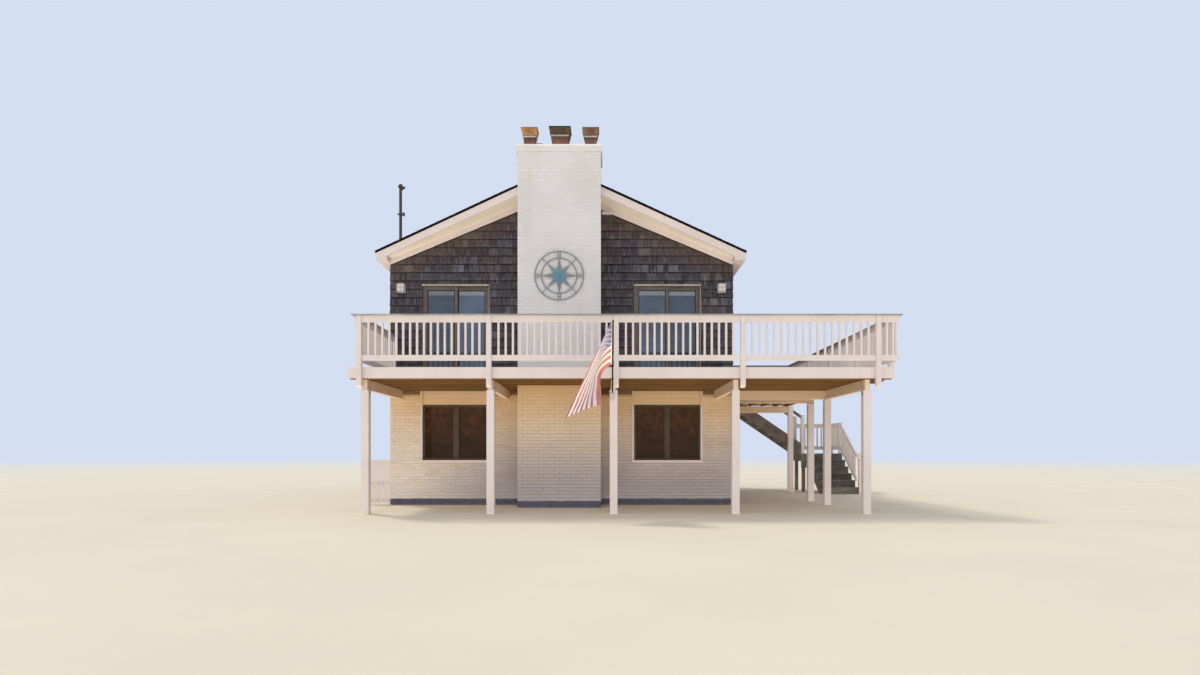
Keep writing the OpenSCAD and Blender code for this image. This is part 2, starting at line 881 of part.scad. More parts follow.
// Entry door with four sunk panels and a knob, in its frame
module entry_door() {
    step_h = 20;
    sunk = 12;
    inner_w = door_w - 2 * door_t;
    inner_h = door_h - door_t - step_h;
    panel_w = (inner_w - 3 * door_stile) / 2;
    panel_h = (inner_h - 3.5 * door_stile) / 2;
    knob_d = 58;
    color("#efe9df") on_right(side_window_y1, slab_t) {
        difference() {
            translate([-door_w / 2, 0, 0]) cube([door_w, frame_d, door_h]);
            translate([-inner_w / 2, -1, step_h]) cube([inner_w, frame_d + 2, inner_h]);
        }
        difference() {
            translate([-inner_w / 2, step_h, step_h]) cube([inner_w, door_t, inner_h]);
            for (side = [-1, 1], row = [0, 1])
                translate([side * (panel_w + door_stile) / 2 - panel_w / 2, step_h - 1,
                           step_h + 1.5 * door_stile + row * (panel_h + door_stile)])
                    cube([panel_w, sunk + 1, panel_h]);
        }
        translate([inner_w / 2 - 0.6 * door_stile, step_h, door_h / 2]) {
            rotate([90, 0, 0]) cylinder(h = 0.8 * knob_d, d = knob_d / 2);
            translate([0, -0.8 * knob_d, 0]) sphere(d = knob_d);
        }
    }
}

module front_glass() {
    color("#2d3338") for (side = [-1, 1]) {
        on_front(side * window_x, sill_z) panes(window_w, window_h, mullion_w);
        on_front(side * window_x, floor_z) slider_panes();
    }
}

module left_glass() {
    color("#2d3338") for (y = [side_window_y1, side_window_y2], z = [sill_z, upper_sill_z])
        on_left(y, z) panes(window_w, window_h, mullion_w);
}

module right_glass() {
    color("#2d3338") {
        for (z = [sill_z, upper_sill_z]) on_right(side_window_y2, z) panes(window_w, window_h, mullion_w);
        on_right(side_window_y1, floor_z) slider_panes();
    }
}

module back_glass() {
    color("#2d3338") for (side = [-1, 1], z = [sill_z, upper_sill_z])
        on_back(side * window_x, z) panes(window_w, window_h, mullion_w);
}

// Box lantern on a back plate: its front has four sunk panes and each side has two
module wall_lamp(x) {
    plate_t = 14;
    plate_out = lamp_bar / 2;
    pane_d = 6;
    pane_w = (lamp_w - 3 * lamp_bar) / 2;
    pane_h = (lamp_h - 3 * lamp_bar) / 2;
    translate([x, front_y, lamp_z]) {
        difference() {
            block([-lamp_w / 2, -lamp_d, -lamp_h / 2], [lamp_w / 2, -plate_t, lamp_h / 2]);
            for (row = [-1, 1]) {
                z = row * (pane_h + lamp_bar) / 2 - pane_h / 2;
                for (side = [-1, 1]) {
                    translate([side * (pane_w + lamp_bar) / 2 - pane_w / 2, -lamp_d - 1, z])
                        cube([pane_w, pane_d + 1, pane_h]);
                    translate([side * lamp_w / 2 - pane_d, lamp_bar - lamp_d, z])
                        cube([2 * pane_d, lamp_d - plate_t - 2 * lamp_bar, pane_h]);
                }
            }
        }
        block([-lamp_w / 2 - plate_out, -plate_t, -lamp_h / 2 - plate_out],
              [lamp_w / 2 + plate_out, 0, lamp_h / 2 + plate_out]);
    }
}

module wall_lamps() {
    color("#f2f0ea") for (side = [-1, 1]) wall_lamp(side * lamp_x);
}

// Deck

// Square post standing on the ground
module deck_post(x, y, top) {
    block([x - post_w / 2, y - post_w / 2, 0], [x + post_w / 2, y + post_w / 2, top]);
}

module front_posts() {
    color("#f0ebe4") for (x = post_xs) deck_post(x, post_y, beam_z);
}

module side_posts() {
    color("#e6dfd6") {
        for (y = cross_y) deck_post(outer_x, front_y + y, beam_z);
        deck_post(deck_x2 + post_w / 2, deck_back - post_w / 2, floor_z + rail_h - cap_t);
        deck_post(walk_x2 - post_w / 2, flight_y2 - post_w / 2, joist_z);
    }
}

// Beam along Y on the line of a post
module long_beam(x, y2) {
    block([x - beam_t / 2, deck_front + fascia_t, beam_z], [x + beam_t / 2, y2, joist_z]);
}

module deck_beams() {
    color("#ebe4da") {
        for (x = post_x) long_beam(x, front_y);
        long_beam(outer_x, front_y + cross_y[0] - beam_t / 2);
    }
}

module cross_beams() {
    end_x = outer_x + post_w / 2;
    color("#e2d9cc") {
        for (y = cross_y)
            block([half_w, front_y + y - beam_t / 2, beam_z], [end_x, front_y + y + beam_t / 2, joist_z]);
        block([half_w, deck_back - beam_t, beam_z], [deck_x2, deck_back, joist_z]);
        block([walk_x2 - beam_t, deck_back, beam_z], [walk_x2, flight_y2 - post_w, joist_z]);
    }
}

// Room that the front deck leaves for the chimney breast
module chimney_hole() {
    block([-chimney_w / 2 - fit_gap, chimney_front - fit_gap, 0],
          [chimney_w / 2 + fit_gap, front_y + past, chimney_z]);
}

// Evenly spaced joists along X over a stretch of Y, one against each end
module joist_row(x1, x2, y1, y2) {
    bays = ceil((y2 - y1 - joist_t) / joist_pitch);
    for (k = [0 : bays]) {
        y = y1 + k * (y2 - y1 - joist_t) / bays;
        block([x1, y, joist_z], [x2, y + joist_t, joist_z + joist_h]);
    }
}

// The same along Y over a stretch of X
module cross_joist_row(x1, x2, y1, y2) {
    bays = ceil((x2 - x1 - joist_t) / joist_pitch);
    for (k = [0 : bays]) {
        x = x1 + k * (x2 - x1 - joist_t) / bays;
        block([x, y1, joist_z], [x + joist_t, y2, joist_z + joist_h]);
    }
}

module deck_joists() {
    color("#9a7447") {
        difference() {
            joist_row(deck_x1 + fascia_t, deck_x2 - fascia_t, deck_front + fascia_t, front_y);
            chimney_hole();
        }
        cross_joist_row(half_w, deck_x2 - fascia_t, front_y + fit_gap, deck_back - fascia_t);
        joist_row(half_w, walk_x2 - fascia_t, deck_back + fit_gap, flight_y2 - fascia_t);
    }
}

module deck_boards() {
    low = floor_z - board_t;
    color("#a08c78") {
        difference() {
            block([deck_x1 + fascia_t, deck_front + fascia_t, low], [deck_x2 - fascia_t, front_y, floor_z]);
            chimney_hole();
        }
        block([half_w, front_y, low], [deck_x2 - fascia_t, deck_back - fascia_t, floor_z]);
        block([half_w, deck_back - fascia_t, low], [walk_x2 - fascia_t, flight_y2 - fascia_t, floor_z]);
    }
}

module deck_fascia() {
    low = floor_z - fascia_h;
    color("#f3eee7") {
        block([deck_x1, deck_front, low], [deck_x2, deck_front + fascia_t, floor_z]);
        block([deck_x1, deck_front, low], [deck_x1 + fascia_t, front_y, floor_z]);
        block([deck_x2 - fascia_t, deck_front, low], [deck_x2, deck_back, floor_z]);
        block([walk_x2 - fascia_t, deck_back - fascia_t, low], [deck_x2, deck_back, floor_z]);
        block([walk_x2 - fascia_t, deck_back - fascia_t, low], [walk_x2, flight_y2, floor_z]);
        block([half_w, flight_y2 - fascia_t, low], [walk_x2, flight_y2, floor_z]);
    }
}

// Railings

rail_top = floor_z + rail_h - cap_t;

// Rail post bolted outside the fascia, its foot cut to a slope at a height below the deck's top
module rail_post(x, y, turn, drop) {
    half = rail_post_w / 2;
    foot_z = floor_z - drop;
    translate([x, y, 0]) rotate([0, 0, turn])
        prism_x([[-half, foot_z + half], [half, foot_z], [half, rail_top], [-half, rail_top]], -half, half);
}

// Rail posts of the right side, evenly spaced from the front corner
right_posts_y = [for (k = [0 : 3])
    deck_front + side_post_inset + k * (deck_back - deck_front - 2 * side_post_inset) / 4];

module rail_posts() {
    color("#f3eee7") {
        for (x = rail_post_xs) rail_post(x, rail_y, 0, fascia_h + rail_post_drop);
        for (y = right_posts_y) rail_post(right_rail_x, y, 90, fascia_h);
        block([left_rail_x - rail_post_w / 2, front_y - rail_post_w, floor_z],
              [left_rail_x + rail_post_w / 2, front_y, rail_top]);
        block([walk_x2, deck_back - fascia_t - rail_post_w, floor_z],
              [walk_x2 + rail_post_w, deck_back - fascia_t, rail_top]);
    }
}

// Level bay along +X from the origin: lower rail, upper rail and balusters let into both
module railing_bay(length) {
    count = ceil(length / baluster_pitch) - 1;
    let_in = 12;
    low = low_rail_gap;
    high = rail_h - cap_t - top_rail_h;
    translate([0, -rail_t / 2, low]) cube([length, rail_t, low_rail_h]);
    translate([0, -rail_t / 2, high]) cube([length, rail_t, top_rail_h]);
    for (k = [1 : count])
        translate([k * length / (count + 1) - baluster_w / 2, -baluster_w / 2, low + low_rail_h - let_in])
            cube([baluster_w, baluster_w, high - low - low_rail_h + 2 * let_in]);
}

// Flat cap along +X from the origin
module rail_cap(length) {
    translate([0, -cap_w / 2, rail_h - cap_t]) cube([length, cap_w, cap_t]);
}

module front_railing() {
    half = rail_post_w / 2;
    xs = rail_post_xs;
    x1 = left_rail_x - cap_w / 2;
    x2 = right_rail_x + cap_w / 2;
    color("#f3eee7") translate([0, rail_y, floor_z]) {
        for (k = [0 : len(xs) - 2])
            translate([xs[k] + half, 0, 0]) railing_bay(xs[k + 1] - xs[k] - rail_post_w);
        last = xs[len(xs) - 1] + half;
        translate([last, 0, 0]) railing_bay(right_rail_x + rail_t / 2 - last);
        translate([x1, 0, 0]) rail_cap(x2 - x1);
    }
}

// Railing of the left side, from the front railing to the post at the wall
module left_railing() {
    y1 = rail_y + rail_t / 2;
    y2 = front_y - rail_post_w;
    cap_y1 = rail_y + cap_w / 2;
    color("#f3eee7") {
        translate([left_rail_x, y1, floor_z]) rotate([0, 0, 90]) railing_bay(y2 - y1);
        translate([left_rail_x, cap_y1, floor_z]) rotate([0, 0, 90]) rail_cap(front_y - cap_y1);
    }
}

module right_railing() {
    half = rail_post_w / 2;
    ys = right_posts_y;
    rear = deck_back - post_w;
    ends = concat(ys, [rear + half]);
    cap_y1 = rail_y + cap_w / 2;
    color("#f3eee7") {
        translate([right_rail_x, rail_y + rail_t / 2, floor_z]) rotate([0, 0, 90])
            railing_bay(ys[0] - half - rail_y - rail_t / 2);
        for (k = [0 : len(ys) - 1])
            translate([right_rail_x, ys[k] + half, floor_z]) rotate([0, 0, 90])
                railing_bay(ends[k + 1] - ends[k] - rail_post_w);
        translate([right_rail_x, cap_y1, floor_z]) rotate([0, 0, 90]) rail_cap(deck_back - cap_y1);
    }
}

// Railings along the rear of the side deck, and along the rear of the walkway to the stair's head
module rear_railing() {
    y = deck_back - fascia_t - rail_post_w / 2;
    x1 = walk_x2 + rail_post_w;
    color("#f3eee7") translate([0, y, floor_z]) {
        translate([x1, 0, 0]) railing_bay(deck_x2 - x1);
        translate([x1 - rail_post_w, 0, 0]) rail_cap(right_rail_x - cap_w / 2 - x1 + rail_post_w);
    }
    walk_l = walk_x2 - fascia_t - rail_post_w - half_w;
    color("#f3eee7") translate([half_w, flight_y2 - fascia_t - rail_post_w / 2, floor_z]) {
        railing_bay(walk_l);
        rail_cap(walk_l);
    }
}

// Stair

// Stringer of a flight: distance from its head, and height above its foot. The top is notched for the
// treads and the riser boards, and the underside is straight
module stringer_profile(risers, rise) {
    back = nosing + stringer_t;
    foot = (risers - 1) * step_run - nosing;
    head = (risers - 1) * rise - tread_t;
    function low(d) = head - stringer_h - (d + back) * rise / step_run;
    polygon(concat(
        [[0, low(0)], [0, head]],
        [for (k = [1 : risers - 1]) each
            [[k * step_run - back, (risers - k) * rise - tread_t],
             [k * step_run - back, (risers - k - 1) * rise - tread_t]]],
        [[foot, -tread_t], [foot, low(foot)]]));
}

// Closed string of a flight in the same section, with straight edges and level with the flight's head
module string_profile(risers, rise) {
    foot = (risers - 1) * step_run - nosing;
    head = risers * rise;
    function nose(d) = head - d * rise / step_run;
    polygon([[0, nose(0) - string_under], [0, head], [string_over * step_run / rise, head],
             [foot, nose(foot) + string_over], [foot, nose(foot) - string_under]]);
}

// Treads of a flight in the same section
module tread_profiles(risers, rise) {
    for (k = [1 : risers - 1]) {
        back = k == 1 ? 0 : (k - 1) * step_run - nosing;
        translate([back + fit_gap, (risers - k) * rise - tread_t])
            square([k * step_run - back - fit_gap, tread_t]);
    }
}

// Riser boards of a flight in the same section, each under the nosing of a tread
module riser_profiles(risers, rise) {
    for (k = [1 : risers - 1])
        translate([k * step_run - nosing - stringer_t, (risers - k - 1) * rise - tread_t])
            square([stringer_t, rise - fit_gap]);
}

// Carries a section of the upper flight across a width that starts at y1
module across_upper(y1, w) {
    translate([walk_x2, y1 + w, landing_z]) rotate([90, 0, 0]) linear_extrude(height = w) children();
}

// Carries a section of the lower flight across a width that starts at x1, cut level at the ground
module across_lower(x1, w) {
    translate([x1 + w, flight_y1, 0]) rotate([90, 0, -90]) linear_extrude(height = w)
        intersection() {
            children();
            translate([-step_run, 0]) square([2 * lower_risers * step_run, 3 * rail_h + landing_z]);
        }
}

module stair_stringers() {
    color("#6b6157") {
        for (y = [flight_y1, flight_y2 - stringer_t])
            across_upper(y, stringer_t) string_profile(upper_risers, upper_rise);
        for (x = [lower_x1, landing_x2 - stringer_t])
            across_lower(x, stringer_t) stringer_profile(lower_risers, lower_rise);
    }
}

module upper_steps() {
    color("#73685d") {
        across_upper(flight_y1 + stringer_t, flight_w - 2 * stringer_t) {
            tread_profiles(upper_risers, upper_rise);
            riser_profiles(upper_risers, upper_rise);
        }
    }
}

module lower_steps() {
    color("#73685d") {
        across_lower(lower_x1, flight_w) tread_profiles(lower_risers, lower_rise);
        across_lower(lower_x1, flight_w) riser_profiles(lower_risers, lower_rise);
    }
}

// Landing: boards on a rim of joists, with a post to the ground under each corner
module stair_landing() {
    rim_z = landing_z - board_t - joist_h;
    color("#7a6f63") {
        block([landing_x1, flight_y1, landing_z - board_t], [landing_x2, flight_y2, landing_z]);
        difference() {
            block([landing_x1, flight_y1, rim_z], [landing_x2, flight_y2, landing_z - board_t]);
            block([landing_x1 + joist_t, flight_y1 + joist_t, rim_z - past],
                  [landing_x2 - joist_t, flight_y2 - joist_t, landing_z - board_t]);
        }
        block([landing_x1, flight_y1, landing_z - lower_rise - tread_t - stringer_h],
              [landing_x2, flight_y1 + joist_t, rim_z]);
        for (x = [landing_x1 + joist_t, landing_x2 - joist_t - rail_post_w],
             y = [flight_y1 + joist_t, flight_y2 - joist_t - rail_post_w])
            block([x, y, 0], [x + rail_post_w, y + rail_post_w, landing_z - board_t]);
    }
}

// Rail of the stair, in the section of a flight, between two distances and two heights over the nosings
module sloped_rail(risers, rise, d1, d2, low, high) {
    function nose(d) = risers * rise - d * rise / step_run;
    polygon([[d1, nose(d1) + low], [d2, nose(d2) + low], [d2, nose(d2) + high], [d1, nose(d1) + high]]);
}

// Balusters of that rail
module sloped_balusters(risers, rise, d1, d2, low, high) {
    count = ceil((d2 - d1) / baluster_pitch) - 1;
    for (k = [1 : count]) {
        d = d1 + k * (d2 - d1) / (count + 1);
        sloped_rail(risers, rise, d - baluster_w / 2, d + baluster_w / 2, low, high);
    }
}

// Post of the stair's railing with its lowest point at z
module stair_post(x, y, z, h) {
    block([x, y, z], [x + rail_post_w, y + rail_post_w, z + h]);
}

// Railings of the landing's two outer sides and of the lower flight's outer side
module stair_railing() {
    w = rail_post_w;
    x2 = landing_x2 - w;
    y2 = flight_y2 - w;
    mid = w / 2;
    d1 = 0;
    d2 = foot_d - w;
    high = stair_rail_h;
    color("#f3eee7") {
        for (y = [flight_y1, y2]) {
            stair_post(landing_x1, y, landing_z, upper_rise + handrail_z + nosing);
            stair_post(x2, y, landing_z, high);
        }
        translate([landing_x1 + w, y2 + mid, landing_z]) stair_bay(x2 - landing_x1 - w);
        translate([x2 + mid, flight_y1 + w, landing_z]) rotate([0, 0, 90]) stair_bay(y2 - flight_y1 - w);
        across_lower(x2 + mid - rail_t / 2, rail_t) {
            sloped_rail(lower_risers, lower_rise, d1, d2, high - top_rail_h, high - cap_t);
            sloped_rail(lower_risers, lower_rise, d1, d2, low_rail_gap, low_rail_gap + low_rail_h);
            sloped_balusters(lower_risers, lower_rise, d1, d2, low_rail_gap + mid, high - top_rail_h + mid);
        }
        translate([landing_x2 + fit_gap, flight_y1 - foot_d, 0]) cube([w, w, lower_rise + high]);
        across_lower(x2 + mid, landing_x2 + w - x2 - mid)
            sloped_rail(lower_risers, lower_rise, d2, foot_d, high - top_rail_h, high - cap_t);
    }
}

// Level bay of the stair's railing along +X from the origin
module stair_bay(length) {
    count = ceil(length / baluster_pitch) - 1;
    let_in = 12;
    low = low_rail_gap + low_rail_h - let_in;
    high = stair_rail_h - top_rail_h + let_in;
    translate([0, -rail_t / 2, low_rail_gap]) cube([length, rail_t, low_rail_h]);
    translate([0, -rail_t / 2, stair_rail_h - top_rail_h]) cube([length, rail_t, top_rail_h]);
    for (k = [1 : count])
        translate([k * length / (count + 1) - baluster_w / 2, -baluster_w / 2, low])
            cube([baluster_w, baluster_w, high - low]);
}

// Plain handrails of the upper flight, from newel posts at its head to the landing's posts
module upper_handrails() {
    w = rail_post_w;
    side = (w - rail_t) / 2;
    x = walk_x2 - fascia_t - w;
    d1 = -fascia_t;
    d2 = landing_x1 - walk_x2;
    color("#8b857c") {
        for (y = [flight_y1, flight_y2 - fascia_t - w]) stair_post(x, y, floor_z, handrail_z + nosing);
        for (y = [flight_y1 + side, flight_y2 - w + side])
            across_upper(y, rail_t)
                sloped_rail(upper_risers, upper_rise, d1, d2, handrail_z - handrail_h, handrail_z);
    }
}

// Service mast

// Mast on the left wall with its straps, rain hood and the wire clamp near its top
module service_mast() {
    hood_r = mast_d * 0.85;
    clamp_z = mast_z - clamp_drop;
    strap_h = 30;
    translate([-half_w - mast_out, front_y + mast_y, 0]) color("#5d5855") {
        translate([0, 0, meter_z]) cylinder(h = mast_z - meter_z, d = mast_d);
        for (z = [meter_z + strap_inset, eave_z - strap_inset])
            translate([0, -mast_d / 2 - 6, z]) cube([mast_out, mast_d + 12, strap_h]);
        translate([0, 0, mast_z - 10]) rotate_extrude()
            polygon([[0, 0], [hood_r, 0], [hood_r, 35], [hood_r * 0.8, 62], [hood_r * 0.4, 80], [0, 84]]);
        translate([hood_r * 0.5, 0, mast_z - 40]) rotate([0, 62, 0]) cylinder(h = 85, d1 = mast_d, d2 = 44);
        translate([0, 0, clamp_z]) cylinder(h = 42, d = mast_d + 22);
        translate([-75, -12, clamp_z + 9]) cube([150, 24, 24]);
        translate([74, 0, clamp_z - 18]) cylinder(h = 78, d = 46);
    }
}

// Plain box that the mast's foot enters
module meter_box() {
    x2 = -half_w;
    y = front_y + mast_y;
    color("#8d8f90") {
        block([x2 - meter_size[1], y - meter_size[0] / 2, meter_z - meter_size[2]],
              [x2, y + meter_size[0] / 2, meter_z]);
        translate([x2 - meter_size[1], y, meter_z - meter_size[2] * 0.42]) rotate([0, -90, 0])
            cylinder(h = meter_size[1] / 2, d = meter_size[0] * 0.55);
    }
}

// Flag

// Places children at the foot of the pole with +Z along it
module on_pole() {
    translate([pole_x, pole_y, pole_z]) rotate([90 - pole_slope, 0, 0]) children();
}

// Pole with a ball at its end, in a socket on a plate
module flagpole() {
    socket_l = 110;
    color("#b9b2a6") {
        on_pole() {
            cylinder(h = pole_l, d = pole_d);
            translate([0, 0, -30]) cylinder(h = socket_l + 30, d = pole_d + 10);
            translate([0, 0, pole_l + 12]) sphere(d = pole_d + 22);
        }
        block([pole_x - 30, post_y - post_w / 2 - 8, pole_z - 75],
              [pole_x + 30, post_y - post_w / 2, pole_z + 75]);
        block([pole_x - 14, pole_y, pole_z - 45], [pole_x + 14, post_y - post_w / 2, pole_z + 30]);
    }
}

// Point of the hanging flag: u runs down the pole and v along the cloth, whose lower edge turns back behind
function flag_point(u, v) =
    let (along = pole_l - 20 - u * flag_h,
         fold = u < 0.8 ? u : 1.6 - u,
         belly = sin(180 * v),
         pleat = u < 0.75 ? pow(v, 0.7) * (1 - 0.25 * v) : 0)
    [pole_x - pole_d / 2 - fit_gap - v * flag_l * (0.435 - 0.42 * fold) - flag_h * 0.075 * u * belly
         + flag_pleat / 3 * pleat * sin(1440 * u),
     pole_y - along * cos(pole_slope) - v * flag_l * (0.44 - 0.28 * u) * u + flag_h * 0.49 * pow(u, 1.4) * belly
         + flag_pleat * pleat * (cos(1440 * u) - 1),
     pole_z + along * sin(pole_slope) - v * flag_l * (0.9 - 0.55 * u)];

// Step from that point through the cloth, square to the chords to its neighbours du and dv away
function flag_skin(u, v, du, dv) =
    let (down = flag_point(min(u + du, 1), v) - flag_point(max(u - du, 0), v),
         out = flag_point(u, min(v + dv, 1)) - flag_point(u, max(v - dv, 0)),
         n = cross(down, out))
    n / norm(n) * flag_t;

// Thin closed sheet over that surface, held along its upright edge by the pole
module flag() {
    nu = 20;
    nv = 8;
    layer = (nu + 1) * (nv + 1);
    function at(i, j, s) = s * layer + i * (nv + 1) + j;
    function quad(a, b, c, d) = [[a, b, c], [a, c, d]];
    points = [for (s = [0, 1], i = [0 : nu], j = [0 : nv])
        flag_point(i / nu, j / nv) + s * flag_skin(i / nu, j / nv, 1 / nu, 1 / nv)];
    faces = concat(
        [for (i = [0 : nu - 1], j = [0 : nv - 1]) each concat(
            quad(at(i, j, 0), at(i + 1, j, 0), at(i + 1, j + 1, 0), at(i, j + 1, 0)),
            quad(at(i, j, 1), at(i, j + 1, 1), at(i + 1, j + 1, 1), at(i + 1, j, 1)))],
        [for (i = [0 : nu - 1]) each concat(
            quad(at(i, 0, 0), at(i, 0, 1), at(i + 1, 0, 1), at(i + 1, 0, 0)),
            quad(at(i, nv, 0), at(i + 1, nv, 0), at(i + 1, nv, 1), at(i, nv, 1)))],
        [for (j = [0 : nv - 1]) each concat(
            quad(at(0, j, 0), at(0, j + 1, 0), at(0, j + 1, 1), at(0, j, 1)),
            quad(at(nu, j, 0), at(nu, j, 1), at(nu, j + 1, 1), at(nu, j + 1, 0)))]);
    color("#c9545a") polyhedron(points, faces);
}

// Picket screen

// Upright pickets under a deep band, with two rails behind and a post at the free end
module picket_screen() {
    x1 = -half_w - screen_l;
    y = front_y + 30;
    board = 20;
    band = 0.3 * screen_h;
    rail = 60;
    inner_x = x1 + rail_post_w;
    count = floor((screen_l - rail_post_w) / (picket_w + picket_gap));
    pitch = (screen_l - rail_post_w) / count;
    color("#efe9df") {
        block([x1, y, 0], [inner_x, y + rail_post_w, screen_h]);
        for (z = [rail, 0.45 * screen_h])
            block([inner_x, y + board, z], [-half_w, y + board + rail_t, z + rail]);
        block([inner_x, y, screen_h - band], [-half_w, y + board + rail_t, screen_h]);
        for (k = [0 : count - 1])
            translate([inner_x + (k + 0.5) * pitch - picket_w / 2, y, rail / 2])
                cube([picket_w, board, screen_h - band]);
    }
}

ground_front_wall();
ground_back_wall();
ground_left_wall();
ground_right_wall();
ground_floor();
upper_front_wall();
upper_back_wall();
upper_left_wall();
upper_right_wall();
upper_floor();
roof_left();
roof_right();
roof_cover_left();
roof_cover_right();
ridge_cap();
rake_boards();
eave_boards();
chimney_stack();
flue_liners();
flue_cap_left();
flue_cap_middle();
flue_cap_right();
compass_rose();
front_windows();
window_heads();
window_casings();
slider_left();
slider_right();
side_windows_left();
side_windows_right();
back_windows();
entry_door();
front_glass();
left_glass();
right_glass();
back_glass();
wall_lamps();
front_posts();
side_posts();
deck_beams();
cross_beams();
deck_joists();
deck_boards();
deck_fascia();
rail_posts();
front_railing();
left_railing();
right_railing();
rear_railing();
stair_stringers();
upper_steps();
lower_steps();
stair_landing();
stair_railing();
upper_handrails();
service_mast();
meter_box();
flagpole();
flag();
picket_screen();
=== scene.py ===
"""Beach house: bricks, shingles, boards, glass, metal and cloth laid over the house's solids.

The script is laid out as an add-on. Each operator makes one group of pieces, in metres, in the frame of
the solids.
"""
import math
import random

import bpy
from bpy.props import FloatProperty, FloatVectorProperty, IntProperty, PointerProperty
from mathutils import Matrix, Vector


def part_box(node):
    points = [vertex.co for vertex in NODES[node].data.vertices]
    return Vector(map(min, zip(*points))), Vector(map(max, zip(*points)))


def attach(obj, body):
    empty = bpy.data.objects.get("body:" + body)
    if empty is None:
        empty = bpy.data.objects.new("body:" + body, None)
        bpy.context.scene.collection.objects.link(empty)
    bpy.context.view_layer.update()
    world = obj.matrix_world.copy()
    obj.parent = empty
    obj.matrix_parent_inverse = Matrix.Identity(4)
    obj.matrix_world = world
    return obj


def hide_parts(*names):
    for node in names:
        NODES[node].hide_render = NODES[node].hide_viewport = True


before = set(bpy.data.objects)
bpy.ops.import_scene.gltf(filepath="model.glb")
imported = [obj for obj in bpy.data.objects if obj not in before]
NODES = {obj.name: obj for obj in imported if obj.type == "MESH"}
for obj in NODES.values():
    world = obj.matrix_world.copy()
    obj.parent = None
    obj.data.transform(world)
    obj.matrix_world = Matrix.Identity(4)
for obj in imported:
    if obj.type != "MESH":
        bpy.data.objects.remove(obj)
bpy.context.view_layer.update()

bl_info = {
    "name": "Beach House",
    "version": (1, 0, 0),
    "blender": (4, 5, 0),
    "location": "View3D > Sidebar > Beach House",
    "description": "Builds the visible pieces of a gabled beach house with a deck over its solids",
    "category": "Add Mesh",
}

# Main places of the house, read from its solids
WALL_LOW, WALL_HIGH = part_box("ground_front_wall")
HALF_W, FRONT_Y, STOREY_Z = WALL_HIGH.x, WALL_LOW.y, WALL_HIGH.z
BACK_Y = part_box("ground_back_wall")[1].y
APEX_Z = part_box("upper_front_wall")[1].z
EAVE_LOW_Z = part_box("eave_boards")[0].z
CHIMNEY_LOW, CHIMNEY_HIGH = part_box("chimney_stack")
BOARDS_LOW, BOARDS_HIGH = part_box("deck_boards")
FLOOR_Z = BOARDS_HIGH.z

# Sizes that the solids' boxes do not show
EAVE_Z = 5.23
SLOPE = (APEX_Z - EAVE_Z) / HALF_W
LEAN = math.hypot(1.0, SLOPE)
ROOF_T, ROOF_TOP = 0.17, 0.2
FRIEZE_H = 0.125
EAVE_X = HALF_W + 0.23
ROOF_BACK = BACK_Y + 0.35
PROW_RIDGE, PROW_EAVE = 0.73, 0.27
COVER_LIP = 0.018
CORNER_GAP = 0.004
CHIMNEY_HALF, CHIMNEY_FRONT = 0.8375, FRONT_Y - 0.83
CROWN_Z = CHIMNEY_HIGH.z - 0.14
CROWN_LIP = CHIMNEY_HIGH.x - CHIMNEY_HALF
CROWN_RELIEF = 0.35
BAND_TOP = 0.13
SIDES = (-1, 1)
WINDOW_X, WINDOW_W, WINDOW_H, SILL_Z = 2.25, 1.41, 1.18, 0.95
CASING_W = 0.048
HEAD_Z = 4.68
UPPER_SILL_Z = HEAD_Z - WINDOW_H
SLIDER_W, SLIDER_H = 1.43, HEAD_Z - FLOOR_Z
SIDE_WINDOWS = (FRONT_Y + 2.4, FRONT_Y + 6.74)
DOOR_W, DOOR_Z, DOOR_H = 0.92, 0.12, 2.03
FRAME_W, MULLION_W, STILE_W, FRAME_SET, FRAME_D = 0.042, 0.12, 0.06, 0.03, 0.1
LAMP_X, LAMP_Z, LAMP_W, LAMP_H, LAMP_BAR = 3.4, 4.6, 0.155, 0.17, 0.016
DECK_BACK = FRONT_Y + 5.5
WALK_X = HALF_W + 0.93
FLIGHT_BACK = DECK_BACK + 0.95
LANDING_Z = 1.09
FASCIA_T = 0.038
BEAM_Y = -6.912
POST_X = (-3.42, -1.15, 1.08, 3.29, 5.665)
RAIL_POST_X = (-3.49, -1.163, 1.125, 3.4, 5.83)
SHINGLE_WIDTHS, SHINGLE_GAP = (0.09, 0.11, 0.13, 0.15, 0.17, 0.2), 0.0036
CAPS = (("left", 0.257, "cap_tan"), ("middle", 0.361, "cap_dark"), ("right", 0.257, "cap_brown"))
ROSE_CENTRE = Vector((0.0, CHIMNEY_FRONT, 4.67))
MAST_X, MAST_Y, MAST_R, MAST_RING_Z = -3.75, -3.37, 0.0325, 4.0
POLE_FOOT = Vector((1.055, -7.027, 2.12))
POLE_SLOPE, POLE_L, POLE_D = math.radians(44), 1.7, 0.024
FLAG_H, FLAG_L, PLEATS = 0.94, 1.8, 6.5


# Sizes and colours that a user may change

def length(name, text, value, low, high):
    """A length property in the order that Blender expects."""
    return FloatProperty(name=name, description=text, default=value, min=low, max=high, unit="LENGTH")


def paint(name, text, value):
    """A colour property in the order that Blender expects."""
    return FloatVectorProperty(name=name, description=text, default=value, min=0.0, max=1.0, size=3,
                               subtype="COLOR")


